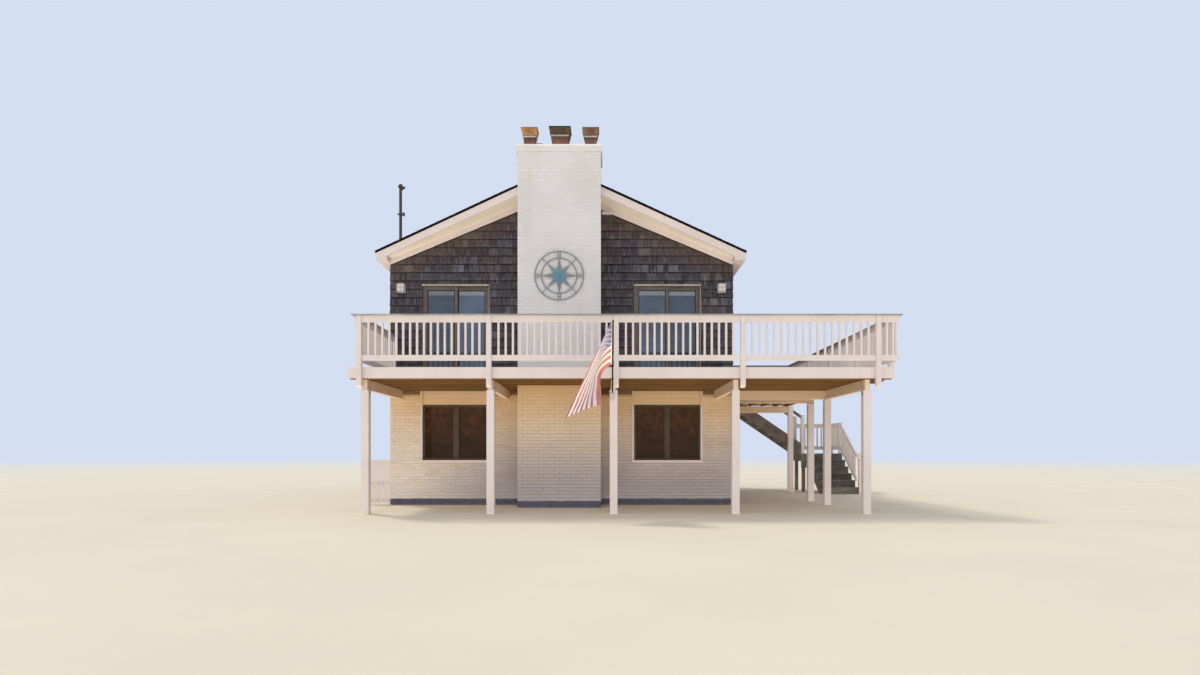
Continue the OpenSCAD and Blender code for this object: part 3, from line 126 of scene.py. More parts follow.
class HouseSizes(bpy.types.PropertyGroup):
    """Sizes of the small repeated pieces"""
    brick_length: length("Brick length", "Length of a brick's face", 0.203, 0.15, 0.3)
    brick_height: length("Brick height", "Height of a brick's face", 0.0555, 0.04, 0.09)
    mortar: length("Mortar joint", "Width of the joints between bricks", 0.0122, 0.004, 0.02)
    brick_proud: length("Brick relief", "How far the bricks stand out of their joints", 0.0065, 0.001, 0.01)
    shingle_exposure: length("Shingle exposure", "Height of a shingle course that shows", 0.1766, 0.1, 0.3)
    shingle_butt: length("Shingle butt", "Thickness of the shingles' lower edges", 0.017, 0.005, 0.02)
    tab_width: length("Roof tab width", "Width of a roof tab", 0.305, 0.2, 0.4)
    tab_exposure: length("Roof tab exposure", "Length of a roof tab that shows", 0.143, 0.1, 0.2)
    plank_width: length("Plank width", "Width of a deck plank", 0.14, 0.08, 0.2)
    plank_gap: length("Plank gap", "Gap between two deck planks", 0.005, 0.002, 0.012)
    pleat_depth: length("Flag pleat depth", "Depth of the flag's pleats", 0.034, 0.0, 0.08)
    seed: IntProperty(name="Seed", description="Seed of the small irregularities", default=7, min=0)


class HouseColours(bpy.types.PropertyGroup):
    """Colours of the finishes"""
    # The brickwork's paint is tinted warm as painted warm light from the sand under the deck; the chimney
    # above the deck has the same white paint.
    warm_lit_brick_paint: paint("Brick paint", "Paint on the ground storey's brickwork", (0.78, 0.655, 0.52))
    chimney_paint: paint("Chimney paint", "Paint on the chimney above the deck", (0.71, 0.71, 0.735))
    joint_paint: paint("Joint paint", "Paint in the joints of the brickwork", (0.71, 0.6, 0.475))
    # The dark band at the brickwork's foot is painted shade where the wall meets the ground.
    foot_shade: paint("Shade at the foot", "Darker band at the foot of the brickwork", (0.1, 0.1, 0.14))
    trim_paint: paint("Trim paint", "Paint on the posts, rails and trim", (0.73, 0.66, 0.64))
    soffit_paint: paint("Soffit paint", "Paint on the underside of the roof", (0.96, 0.89, 0.76))
    cedar_dark: paint("Dark cedar", "Darkest of the shingles", (0.03, 0.025, 0.031))
    cedar_light: paint("Light cedar", "Lightest of the shingles", (0.17, 0.155, 0.172))
    roof_tabs: paint("Roof tabs", "Asphalt of the roof", (0.03, 0.028, 0.028))
    lumber: paint("Bare lumber", "Joists and boards under the deck", (0.25, 0.13, 0.042))
    planks: paint("Deck planks", "Weathered top of the deck", (0.27, 0.225, 0.18))
    stair: paint("Stair timber", "Weathered timber of the stair", (0.135, 0.115, 0.1))
    bronze: paint("Window bronze", "Frames of the windows", (0.075, 0.05, 0.028))
    slider: paint("Slider frame", "Frames of the sliding doors", (0.12, 0.1, 0.086))
    teal: paint("Rose centre", "Middle of the compass rose", (0.11, 0.29, 0.33))
    rose_grey: paint("Rose rings", "Rings of the compass rose", (0.26, 0.27, 0.28))
    stripe_red: paint("Flag red", "Red of the flag's stripes", (0.8, 0.24, 0.2))
    flag_blue: paint("Flag blue", "Blue of the flag's canton", (0.17, 0.15, 0.38))
    floor: paint("Stage floor", "Colour of the stage's floor", (0.84, 0.745, 0.57))
    backdrop: paint("Backdrop", "Colour seen behind the house", (0.66, 0.735, 0.89))


# Shapes

def rect(left, low, right, high, inset=0.0):
    """Corners of a rectangle, anticlockwise, moved in by an inset."""
    left, low, right, high = left + inset, low + inset, right - inset, high - inset
    return ((left, low), (right, low), (right, high), (left, high))


def band(low, high, count):
    """Faces between two rings of points that start at the numbers low and high."""
    return [(low + k, low + (k + 1) % count, high + (k + 1) % count, high + k) for k in range(count)]


def circle(steps, radius=1.0):
    """Points round a circle."""
    turns = [k * math.tau / steps for k in range(steps)]
    return [(radius * math.cos(turn), radius * math.sin(turn)) for turn in turns]


class Shape:
    """Points and faces of one piece, in metres."""

    def __init__(self):
        self.points = []
        self.faces = []

    def add(self, points, faces):
        """Adds points and faces numbered from the first of those points."""
        first = len(self.points)
        self.points.extend(tuple(p) for p in points)
        self.faces.extend(tuple(first + k for k in face) for face in faces)

    def slab(self, back, front, closed=False):
        """Adds a solid from a back outline to a front outline that runs anticlockwise as it is seen."""
        n = len(back)
        faces = [tuple(range(n, 2 * n))]
        if closed:
            faces.append(tuple(reversed(range(n))))
        self.add(list(back) + list(front), faces + band(0, n, n))

    def block(self, spot, outline, back, front, inner=None, closed=True):
        """Adds a slab between two distances out of a wall's face; its front may have another outline."""
        ends = ((outline, back), (inner or outline, front))
        self.slab(*([spot(a, u, out) for a, u in ring] for ring, out in ends), closed)

    def box(self, low, high):
        """Adds a closed box between two corners."""
        self.block(lambda x, y, z: (x, y, z), rect(low[0], low[1], high[0], high[1]), low[2], high[2])

    def turned(self, spot, profile, steps=24):
        """Adds a closed turned form: profile pairs of radius and height out of a face."""
        last = (len(profile) - 1) * steps
        faces = [face for low in range(0, last, steps) for face in band(low, low + steps, steps)]
        faces += [tuple(reversed(range(steps))), tuple(range(last, last + steps))]
        self.add([spot(a, u, out) for radius, out in profile for a, u in circle(steps, radius)], faces)

    def framed(self, spot, hole, width, back, front):
        """Adds four mitred bars inside a rectangle (left, low, right, high)."""
        outer, inner = rect(*hole), rect(*hole, width)
        for k in range(4):
            j = (k + 1) % 4
            self.block(spot, (outer[k], outer[j], inner[j], inner[k]), back, front)


FINISHES = {}


def make(name, shape, finish):
    """Makes an object of a shape."""
    mesh = bpy.data.meshes.new(name)
    mesh.from_pydata(shape.points, [], shape.faces)
    mesh.validate()
    mesh.materials.append(finish)
    obj = bpy.data.objects.new(name, mesh)
    bpy.context.scene.collection.objects.link(obj)
    return obj


def ease(obj, width):
    """Eases a piece's edges."""
    edge = obj.modifiers.new("eased edges", "BEVEL")
    edge.width = width
    edge.segments = 1
    edge.limit_method = "ANGLE"
    edge.angle_limit = math.radians(40)


def show(name, shape, finish, stands_for=(), bevel=0.0, smooth=False):
    """Makes a piece of a shape, gives it its finish and lets it ride on the house."""
    obj = make(name, shape, FINISHES[finish])
    obj.data.polygons.foreach_set("use_smooth", [smooth] * len(obj.data.polygons))
    if bevel:
        ease(obj, bevel)
    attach(obj, "root")
    if stands_for:
        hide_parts(*stands_for)
    return obj


def dress(finish, *names, bevel=0.0):
    """Gives solids their finish, and eases their edges where a width is given."""
    for name in names:
        obj = NODES[name]
        obj.data.materials.clear()
        obj.data.materials.append(FINISHES[finish])
        if bevel:
            joined = obj.modifiers.new("joined corners", "WELD")
            joined.merge_threshold = 0.0001
            ease(obj, bevel)


def cut(rects, holes):
    """Cuts holes out of rectangles; each is (left, low, right, high)."""
    for h_left, h_low, h_right, h_high in holes:
        kept = []
        for left, low, right, high in rects:
            if h_right <= left or h_left >= right or h_high <= low or h_low >= high:
                kept.append((left, low, right, high))
                continue
            inner_left, inner_right = max(left, h_left), min(right, h_right)
            pieces = ((left, low, inner_left, high), (inner_right, low, right, high),
                      (inner_left, low, inner_right, h_low), (inner_left, h_high, inner_right, high))
            kept += [piece for piece in pieces if piece[0] < piece[2] and piece[1] < piece[3]]
        rects = kept
    return rects


def sliver(part, width, height):
    """True for a rectangle too narrow or too low to be made."""
    return part[2] - part[0] < width or part[3] - part[1] < height


def wall(x, y, across, outward):
    """Places on a wall: across to the right as it is seen from outside, up, and out of its face."""
    return lambda a, u, out: (x + across[0] * a + outward[0] * out, y + across[1] * a + outward[1] * out, u)


on_front = wall(0, FRONT_Y, (1, 0), (0, -1))
on_right = wall(HALF_W, 0, (0, 1), (1, 0))
on_back = wall(0, BACK_Y, (-1, 0), (0, 1))
on_left = wall(-HALF_W, 0, (0, -1), (-1, 0))
on_chimney = wall(0, CHIMNEY_FRONT, (1, 0), (0, -1))
on_chimney_right = wall(CHIMNEY_HALF, 0, (0, 1), (1, 0))
on_chimney_left = wall(-CHIMNEY_HALF, 0, (0, -1), (-1, 0))
on_chimney_back = wall(0, FRONT_Y, (-1, 0), (0, 1))


def hole(centre, sill, width=WINDOW_W, height=WINDOW_H):
    """Rectangle of an opening about its centre."""
    return (centre - width / 2, sill, centre + width / 2, sill + height)


def holes_of(sill):
    """The windows of one storey in the back and the left wall."""
    return [hole(s * WINDOW_X, sill) for s in SIDES], [hole(-y, sill) for y in SIDE_WINDOWS]


def under_roof(x):
    """Height of the roof's underside at a distance from the ridge line."""
    return APEX_Z - abs(x) * SLOPE


# Finishes

def add_node(tree, kind, sockets=None, **settings):
    """Adds a node, sets what it is told and gives back its outputs."""
    made = tree.nodes.new(kind)
    for key, value in settings.items():
        setattr(made, key, value)
    for key, value in (sockets or {}).items():
        if isinstance(value, bpy.types.NodeSocket):
            tree.links.new(value, made.inputs[key])
        else:
            made.inputs[key].default_value = value
    return made.outputs


def shade(colour, amount):
    """A colour made lighter or darker."""
    return tuple(min(1.0, c * amount) for c in colour)


class Finish:
    """One procedural material: patterns laid out in the house's metres, and a tone built up in coats."""

    def __init__(self, name, tone=None, **sockets):
        self.material = bpy.data.materials.new(name)
        self.material.use_nodes = True
        self.tree = self.material.node_tree
        self.shader = self.tree.nodes["Principled BSDF"]
        self.here = self.add("ShaderNodeTexCoord")["Object"]
        self.tone = tone
        self.shader.inputs["Coat Roughness"].default_value = 0.1
        for socket, value in sockets.items():
            self.shader.inputs[socket.replace("_", " ")].default_value = value

    def add(self, kind, sockets=None, **settings):
        """Adds a node to this material."""
        return add_node(self.tree, kind, sockets, **settings)

    def noise(self, scale, detail=3.0, rough=0.55, stretch=(1, 1, 1)):
        """Noise with so many lumps a metre, drawn out along the axes with small stretch values."""
        place = self.add("ShaderNodeMapping", {"Vector": self.here, "Scale": stretch})[0]
        return self.add("ShaderNodeTexNoise", {"Vector": place, "Scale": scale, "Detail": detail,
                                               "Roughness": rough})["Fac"]

    def axis(self, name):
        """One coordinate of the point, in metres."""
        return self.add("ShaderNodeSeparateXYZ", {0: self.here})[name]

    def level(self, value, low, high, start=0.0, end=1.0):
        """Carries a value from one range to another and holds it there."""
        return self.add("ShaderNodeMapRange", {"Value": value, "From Min": low, "From Max": high,
                                               "To Min": start, "To Max": end})[0]

    def sum(self, operation, first, second=0.0):
        """One step of arithmetic."""
        return self.add("ShaderNodeMath", {0: first, 1: second}, operation=operation)[0]

    def plus(self, first, second):
        return self.sum("ADD", first, second)

    def minus(self, first, second):
        return self.sum("SUBTRACT", first, second)

    def times(self, first, second):
        return self.sum("MULTIPLY", first, second)

    def over(self, first, second):
        return self.sum("DIVIDE", first, second)

    def less(self, first, second):
        return self.sum("LESS_THAN", first, second)

    def more(self, first, second):
        return self.sum("GREATER_THAN", first, second)

    def uneven(self, name, reach, scale, detail):
        """One coordinate of the point, blurred by noise."""
        return self.plus(self.axis(name), self.level(self.noise(scale, detail), 0.3, 0.7, -reach, reach))

    def blend(self, amount, first, second, way="MIX"):
        """Mixes two colours."""
        sockets = {0: amount}
        for key, colour in ((6, first), (7, second)):
            sockets[key] = colour if isinstance(colour, bpy.types.NodeSocket) else (*colour, 1.0)
        return self.add("ShaderNodeMix", sockets, data_type="RGBA", blend_type=way)[2]

    def coat(self, amount, colour, way="MIX"):
        """Lays a colour over the tone, by an amount."""
        self.tone = self.blend(amount, self.tone, colour, way)

    def fade(self, colour, value, low, high, most=1.0, way="MIX"):
        """Lays a colour over the tone, more of it as a value goes from low to high."""
        self.coat(self.level(value, low, high, 0, most), colour, way)

    def island(self):
        """A random value for each brick, shingle or board."""
        return self.add("ShaderNodeNewGeometry")["Random Per Island"]

    def indoors(self, colour):
        """Lays a colour over the tone inside the house's walls."""
        self.coat(self.times(*(self.less(self.sum("ABSOLUTE", self.axis(name)), half - 0.1)
                               for name, half in (("X", HALF_W), ("Y", BACK_Y)))), colour)

    def link(self, value, socket):
        self.tree.links.new(value, self.shader.inputs[socket])

    def done(self, *bumps, rough=None):
        """Links the tone, the roughness and the bumps, each a height, a depth in metres and a strength."""
        self.link(self.tone, "Base Color")
        if rough:
            self.link(self.level(*rough), "Roughness")
        sockets = {}
        for height, depth, strength in bumps:
            sockets |= {"Height": height, "Distance": depth, "Strength": strength}
            sockets["Normal"] = self.add("ShaderNodeBump", sockets)["Normal"]
        if bumps:
            self.link(sockets["Normal"], "Normal")
        return self.material


def masonry_paint(name, colour, base, lower=None, uneven=0.2):
    """Coats of paint over brick with stains and pores, and painted light: a warmer lower tone below the
    deck, painted shade towards its foot and in a dark band at its foot, and painted warm light and the
    joists' shade under the deck.
    """
    f = Finish(name, colour, Roughness=0.72)
    # Below the deck the lower tone takes over: the same white paint, warmer as painted warm light.
    if lower:
        f.tone = f.blend(f.level(f.axis("Z"), STOREY_Z + 0.03, STOREY_Z + 0.09), lower, colour)
    f.fade((0.42, 0.37, 0.32), f.island(), 0, 1, uneven, "MULTIPLY")
    f.fade((0.5, 0.46, 0.42), f.noise(0.9, 5), 0.42, 0.72, 0.2, "MULTIPLY")
    f.fade((0.589, 0.5415, 0.475), f.noise(3.2, 4, stretch=(1, 1, 0.12)), 0.55, 0.8, 0.5)
    f.fade((0.42, 0.37, 0.32), f.noise(42, 3, 0.7), 0.66, 0.74, 0.35)
    # Painted shade and cool light: towards its foot the paint turns bluer at the left end, and darker and
    # bluer elsewhere, most at the front.
    shaded = f.times(f.level(f.axis("X"), -3.1, -1.4), f.level(f.axis("Y"), 3.0, -3.0))
    f.fade(f.blend(shaded, (1.02, 1.1, 1.26), (0.5, 0.57, 0.79)), f.axis("Z"), 1.7, 0.35, way="MULTIPLY")
    near_deck = f.sum("MAXIMUM", f.more(f.axis("X"), HALF_W - 0.1), f.less(f.axis("Y"), FRONT_Y + 0.1))
    near_deck = f.times(near_deck, f.less(f.axis("Z"), STOREY_Z + 0.06))
    # Painted warm light: near the deck the paint grows warmer towards its top, as light from the sand under
    # the deck.
    f.coat(f.times(near_deck, f.level(f.axis("Z"), 1.5, 2.4)), (1.09, 0.94, 0.65), "MULTIPLY")
    if not lower:
        # Painted shade of the joists: a dark brown strip along the wall's top near the deck.
        joist_shade = f.level(f.axis("Z"), STOREY_Z - 0.12, STOREY_Z - 0.06, 0, 0.85)
        f.coat(f.times(near_deck, joist_shade), (0.11, 0.06, 0.028))
    splash = f.uneven("Z", 0.008, 5, 4)
    f.fade((0.5, 0.46, 0.41), splash, 0.62, 0.2, 0.35)
    # Painted shade: a dark band along the wall's foot.
    f.fade(f.blend(f.level(f.noise(9, 4), 0.4, 0.65), base, shade(base, 0.8)), splash,
           BAND_TOP + 0.006, BAND_TOP - 0.002)
    crown = CHIMNEY_HIGH.z
    f.fade((0.98, 0.93, 0.87), f.uneven("Z", 0.01, 4, 3), crown - 0.035, crown - 0.015, 0.9)
    f.indoors((0.42, 0.38, 0.33))
    return f.done((f.noise(26, 4, 0.6), 0.004, 0.35), (f.noise(240, 3, 0.6), 0.0012, 0.5),
                  rough=(f.noise(14, 3), 0.3, 0.7, 0.6, 0.85))


def cedar_finish(name, dark, light, exposure):
    """Weathered cedar: a tone for each shingle, upright grain, and painted shadows under the next course,
    under the frieze and beside the chimney.
    """
    f = Finish(name, Roughness=0.85)
    f.tone = f.add("ShaderNodeValToRGB", {0: f.island()})["Color"]
    ramp = f.tree.nodes[-1].color_ramp
    stops = ((0.0, dark), (0.25, shade(dark, 1.7)), (0.5, shade(light, 0.36)), (0.78, shade(light, 0.42)),
             (0.92, shade(light, 0.64)), (1.0, light))
    for position, colour in stops[1:-1]:
        ramp.elements.new(position)
    for element, (position, colour) in zip(ramp.elements, stops):
        element.position = position
        element.color = (*colour, 1.0)
    hue = f.noise(2.1, 3)
    f.fade((0.9, 0.95, 1.3), hue, 0.5, 0.64, 0.75, "MULTIPLY")
    f.fade((1.15, 0.95, 0.88), hue, 0.48, 0.36, 0.6, "MULTIPLY")
    grain = f.noise(1.0, 5, 0.65, stretch=(95, 95, 4.5))
    f.fade(shade(dark, 0.8), grain, 0.38, 0.66, 0.5)
    f.fade(shade(light, 1.35), f.noise(1.0, 4, 0.6, stretch=(26, 26, 4.5)), 0.52, 0.72, 0.65)
    course = f.sum("FRACT", f.over(f.minus(f.axis("Z"), FLOOR_Z - 20 * exposure), exposure))
    f.fade(light, course, 0.4, 0.0, 0.16)
    under_butt = f.plus(course, f.level(f.noise(7, 3), 0.3, 0.7, -0.035, 0.035))
    f.fade(shade(dark, 0.2), under_butt, 0.865, 0.905, 0.95)
    across = f.sum("ABSOLUTE", f.axis("X"))
    below = f.plus(f.axis("Z"), f.times(across, SLOPE))
    frieze = APEX_Z - FRIEZE_H
    f.fade((0.1, 0.062, 0.038), below, APEX_Z - 0.62, frieze, 0.45)
    # Painted shadow: a dark line just under the frieze.
    f.fade(shade(dark, 0.3), below, frieze - 0.035, frieze - 0.02, 0.85)
    # Painted shadow: a dark strip on the front shingles beside the chimney.
    beside = f.level(across, CHIMNEY_HALF + 0.015, CHIMNEY_HALF + 0.03, 0.85, 0)
    f.coat(f.times(beside, f.less(f.axis("Y"), 0.0)), shade(dark, 0.3))
    f.indoors((0.46, 0.42, 0.37))
    return f.done((grain, 0.0022, 0.7), (f.noise(1.0, 3, 0.6, stretch=(240, 240, 14)), 0.0007, 0.6))


def along_grain(axis, fine, long):
    """Stretch of a wood's grain along one axis."""
    return tuple(long if name == axis else fine for name in "XYZ")


def painted_timber(name, colour, along="Z", wear=0.5, bare_above=None, head_warm_light=None):
    """Painted boards with grain, grime and chips; their tops may be bare, and their heads may take painted
    warm light from under the deck.
    """
    f = Finish(name, colour, Roughness=0.55)
    grain = f.noise(1.0, 4, 0.6, stretch=along_grain(along, 70, 3))
    f.fade(shade(colour, 0.92), f.noise(1.7, 5), 0.4, 0.75)
    f.fade((0.5, 0.45, 0.39), f.noise(1.0, 4, 0.6, stretch=(26, 26, 1.6)), 0.56, 0.8, 0.45 * wear)
    f.fade(shade(colour, 0.75), grain, 0.62, 0.75, 0.4 * wear)
    chips = f.times(f.noise(38, 4, 0.7), f.level(grain, 0.4, 0.7, 0.85, 1.12))
    f.fade((0.31, 0.25, 0.19), chips, 0.69, 0.72, wear)
    if bare_above is not None:
        grey = (0.33, 0.32, 0.32)
        worn = f.blend(f.level(grain, 0.35, 0.68), grey, shade(grey, 0.58))
        worn = f.blend(f.level(f.noise(2.4, 4), 0.45, 0.7, 0, 0.6), worn, shade(grey, 1.35))
        f.fade(worn, f.axis("Z"), bare_above, bare_above + 0.003)
    # Painted warm light on the boards' heads near the deck's underside.
    if head_warm_light:
        head = SILL_Z + WINDOW_H
        f.fade(head_warm_light, f.axis("Z"), head - 0.12, head + 0.02)
    return f.done((grain, 0.0012, 0.45), (f.noise(160, 2), 0.0005, 0.4),
                  rough=(f.noise(11, 3), 0.3, 0.7, 0.45, 0.7))


def bare_timber(name, colour, along="Y", grey=0.0, rough=0.8, top=None):
    """Unpainted boards: long grain, knots and a tone for each board; an upper face may be weathered."""
    f = Finish(name, Roughness=rough)
    grain = f.noise(1.0, 5, 0.62, stretch=along_grain(along, 48, 2.2))
    fine = f.noise(1.0, 3, 0.6, stretch=along_grain(along, 192, 4.4))
    island = f.island()
    f.tone = f.blend(island, shade(colour, 0.74), shade(colour, 1.28))
    f.fade(shade(colour, 0.5), grain, 0.35, 0.68, 0.7)
    f.fade(shade(colour, 0.22), f.noise(1.0, 2, 0.5, stretch=along_grain(along, 14, 3.4)), 0.73, 0.79, 0.85)
    f.fade(shade(colour, 0.55), f.noise(2.1, 4), 0.5, 0.75, 0.6)
    if grey:
        f.fade((0.3, 0.285, 0.265), f.noise(4, 5), 0.35, 0.7, grey)
    if top:
        up = f.add("ShaderNodeSeparateXYZ", {0: f.add("ShaderNodeNewGeometry")["True Normal"]})["Z"]
        worn = f.blend(island, shade(top, 0.78), shade(top, 1.25))
        worn = f.blend(f.level(grain, 0.35, 0.66, 0, 0.7), worn, shade(top, 0.5))
        worn = f.blend(f.level(f.noise(3, 5), 0.45, 0.72, 0, 0.6), worn, (0.33, 0.31, 0.285))
        f.fade(worn, up, 0.45, 0.55)
    return f.done((grain, 0.0025, 0.6), (fine, 0.0008, 0.5),
                  rough=(fine, 0.3, 0.7, rough - 0.12, min(1.0, rough + 0.12)))


def roof_finish(name, colour):
    """Mineral granules on asphalt, a tone for each tab, with lighter streaks of wear."""
    f = Finish(name, Roughness=0.92)
    f.tone = f.blend(f.island(), shade(colour, 0.7), shade(colour, 1.9))
    granule = f.noise(420, 2, 0.8)
    f.fade((0.1, 0.095, 0.09), granule, 0.42, 0.62, 0.75)
    f.fade((0.11, 0.1, 0.09), f.noise(1.3, 5), 0.5, 0.8, 0.45)
    return f.done((granule, 0.0016, 0.8), (f.noise(8, 3), 0.004, 0.4))


def clay_finish(name):
    """Fired clay, sooty towards its top and limy at its foot."""
    f = Finish(name, (0.32, 0.12, 0.075), Roughness=0.86)
    f.fade((0.45, 0.2, 0.13), f.noise(16, 5), 0.35, 0.7)
    height, foot = f.uneven("Z", 0.05, 12, 4), CHIMNEY_HIGH.z
    f.fade((0.055, 0.04, 0.035), height, foot + 0.12, foot + 0.24, 0.75)
    f.fade((0.5, 0.42, 0.36), height, foot + 0.06, foot, 0.7)
    return f.done((f.noise(60, 4), 0.002, 0.6))


def sheet_metal(name, colour, metal=0.5, rust=0.4, rough=0.5):
    """Painted or plated sheet metal, dulled and rusting in patches."""
    f = Finish(name, shade(colour, 1.15), Roughness=rough, Metallic=metal)
    patch = f.noise(18, 5, 0.65)
    f.fade(shade(colour, 0.72), f.noise(5, 4), 0.35, 0.7)
    f.fade((0.2, 0.075, 0.03), patch, 0.55, 0.68, rust)
    return f.done((patch, 0.0012, 0.5), (f.noise(260, 2), 0.0003, 0.4),
                  rough=(patch, 0.3, 0.75, rough - 0.12, rough + 0.3))


def rose_finish(name, centre, ring):
    """Weathered metal that turns from teal at the rose's centre to grey at its rings."""
    f = Finish(name, centre, Roughness=0.5, Metallic=0.35)
    away = f.add("ShaderNodeVectorMath", {0: f.here, 1: ROSE_CENTRE}, operation="DISTANCE")["Value"]
    reach = f.plus(away, f.level(f.noise(16, 4), 0.3, 0.7, -0.06, 0.06))
    f.fade(ring, reach, 0.07, 0.2)
    cool = f.level(f.minus(ROSE_CENTRE.z, f.axis("Z")), -0.05, 0.16)
    f.coat(f.times(cool, f.level(reach, 0.05, 0.26, 0.7, 0.1)), (0.14, 0.17, 0.35))
    f.fade((0.13, 0.1, 0.085), f.noise(34, 5, 0.7), 0.56, 0.72, 0.55)
    f.fade(shade(centre, 1.9), f.noise(60, 4, 0.7), 0.6, 0.7, 0.6)
    return f.done((f.noise(90, 3), 0.0012, 0.5), rough=(f.noise(25, 4), 0.3, 0.7, 0.35, 0.7))


def frame_finish(name, colour, metal):
    """Coated aluminium, chalked and dusty."""
    f = Finish(name, shade(colour, 1.2), Roughness=0.45, Metallic=metal)
    f.fade(shade(colour, 0.8), f.noise(6, 4), 0.35, 0.7)
    f.fade(shade(colour, 2.2), f.noise(70, 3), 0.62, 0.75, 0.4)
    return f.done((f.noise(220, 2), 0.0003, 0.4), rough=(f.noise(22, 3), 0.3, 0.7, 0.35, 0.6))


def glass_finish(name, colour, through, mirror, gloss=1.0, tint=(1.0, 1.0, 1.0), upper=None):
    """Wavy window glass whose dark tone stands for the shade of the dim room behind it, with patches of
    painted reflection; it is clearer along the upper windows' heads.
    """
    f = Finish(name, shade(colour, 0.5), Roughness=0.03, IOR=1.5, Coat_Weight=gloss, Coat_Roughness=0.01,
               Coat_IOR=mirror, Specular_Tint=(*tint, 1.0))
    clear = f.level(f.axis("Z"), HEAD_Z - 0.215, HEAD_Z - 0.21)
    f.link(f.plus(f.times(clear, 0.7), through), "Transmission Weight")
    # Painted reflection: soft upright streaks of a lighter tone.
    f.fade(shade(colour, 1.2), f.noise(1.3, 3, 0.6, stretch=(1, 1, 2.2)), 0.35, 0.62)
    if upper:
        # Painted reflection of the deck's underside and of leaves, in the upper part of the lower windows.
        leaves = f.blend(f.level(f.noise(9, 5, 0.7), 0.4, 0.6), shade(upper, 0.35), upper)
        f.fade(leaves, f.uneven("Z", 0.3, 5, 4), 1.4, 1.75)
    # Painted reflection: patches of a lighter tone.
    f.fade(shade(colour, 1.35), f.noise(3.0, 5, 0.65), 0.4, 0.75, 0.3)
    f.coat(clear, (0.6, 0.62, 0.64))
    return f.done((f.noise(1.6, 1), 0.004, 0.25), rough=(f.noise(40, 4), 0.3, 0.75, 0.02, 0.07))


def plain_finish(name, colour, rough=0.6, metal=0.0, scale=20.0, gleam=0.5):
    """A smooth material with faint patches and a fine tooth."""
    f = Finish(name, shade(colour, 1.08), Roughness=rough, Metallic=metal, Specular_IOR_Level=gleam)
    f.fade(shade(colour, 0.84), f.noise(scale, 4), 0.35, 0.7)
    return f.done((f.noise(scale * 12, 3), 0.0006, 0.5),
                  rough=(f.noise(scale * 1.7, 3), 0.3, 0.7, rough - 0.1, min(1.0, rough + 0.12)))


def pole_finish(name):
    """Dark weathered pole with a pale ball at its end."""
    f = Finish(name, (0.018, 0.014, 0.011), Roughness=0.85, Specular_IOR_Level=0.05)
    grain = f.noise(1.0, 4, stretch=(90, 12, 12))
    f.fade((0.008, 0.006, 0.005), grain, 0.35, 0.65)
    foot, end = POLE_FOOT.z, POLE_FOOT.z + POLE_L * math.sin(POLE_SLOPE)
    f.fade((0.62, 0.56, 0.42), f.axis("Z"), end - 0.018, end - 0.012)
    f.fade((0.55, 0.53, 0.5), f.axis("Z"), foot + 0.075, foot + 0.05)
    return f.done((grain, 0.0005, 0.4))


def star_field(f, along, down):
    """One on a flag's stars and nought off them: six by five stars, and five by four between them."""
    pitch_x, pitch_y = 0.055, 0.1077
    outer, inner, fifth = 0.029, 0.0111, math.tau / 10
    fields = []
    for start_x, start_y, count_x, count_y in ((0.0, 0.00005, 6, 5), (0.0275, 0.05385, 5, 4)):
        x = f.over(f.minus(along, start_x), pitch_x)
        y = f.over(f.minus(down, start_y), pitch_y)
        local_x = f.times(f.minus(f.sum("FRACT", x), 0.5), pitch_x * FLAG_L)
        local_y = f.times(f.minus(0.5, f.sum("FRACT", y)), pitch_y * FLAG_H)
        away = f.sum("SQRT", f.plus(f.times(local_x, local_x), f.times(local_y, local_y)))
        turn = f.sum("ABSOLUTE", f.sum("PINGPONG", f.sum("ARCTAN2", local_x, local_y), fifth))
        to_point = f.times(f.sum("SINE", turn), outer)
        to_notch = f.times(f.sum("SINE", f.minus(fifth, turn)), inner)
        edge = f.over(outer * inner * math.sin(fifth), f.plus(to_point, to_notch))
        inside = f.less(away, edge)
        for value, limit in ((x, count_x), (y, count_y)):
            inside = f.times(inside, f.times(f.more(value, 0.0), f.less(value, float(limit))))
        fields.append(inside)
    return f.sum("MAXIMUM", *fields)


def flag_finish(name, red, blue):
    """Woven cloth with thirteen stripes, a blue canton and small white stars, laid out over its own map."""
    f = Finish(name, Roughness=0.75, Sheen_Weight=0.25)
    spot = f.add("ShaderNodeUVMap", uv_map="cloth")[0]
    split = f.add("ShaderNodeSeparateXYZ", {0: spot})
    along, down = split["X"], split["Y"]
    stripe = f.sum("FLOORED_MODULO", f.sum("FLOOR", f.times(down, 13.0)), 2.0)
    white = (0.99, 0.96, 0.94)
    # In patches the red turns mauve.
    mottled_red = f.blend(f.level(f.noise(4.5, 3), 0.42, 0.6, 0, 0.7), red, (0.5, 0.22, 0.27))
    f.tone = f.blend(stripe, mottled_red, white)
    faded = f.blend(f.level(along, 0.04, 0.17), blue, (0.56, 0.49, 0.66))
    canton = f.times(f.less(along, 0.28), f.less(down, 7 / 13))
    f.coat(canton, f.blend(star_field(f, along, down), faded, white))
    f.fade(shade(white, 0.95), along, 0.013, 0.011)
    f.fade((0.7, 0.6, 0.56), f.noise(5, 4), 0.4, 0.75, 0.12)
    weave, weft = (f.add("ShaderNodeTexWave", {"Vector": spot, "Scale": scale, "Distortion": 1.0},
                         bands_direction=way)["Fac"] for scale, way in ((420.0, "X"), (260.0, "Y")))
    return f.done((f.times(weave, weft), 0.0004, 0.5))


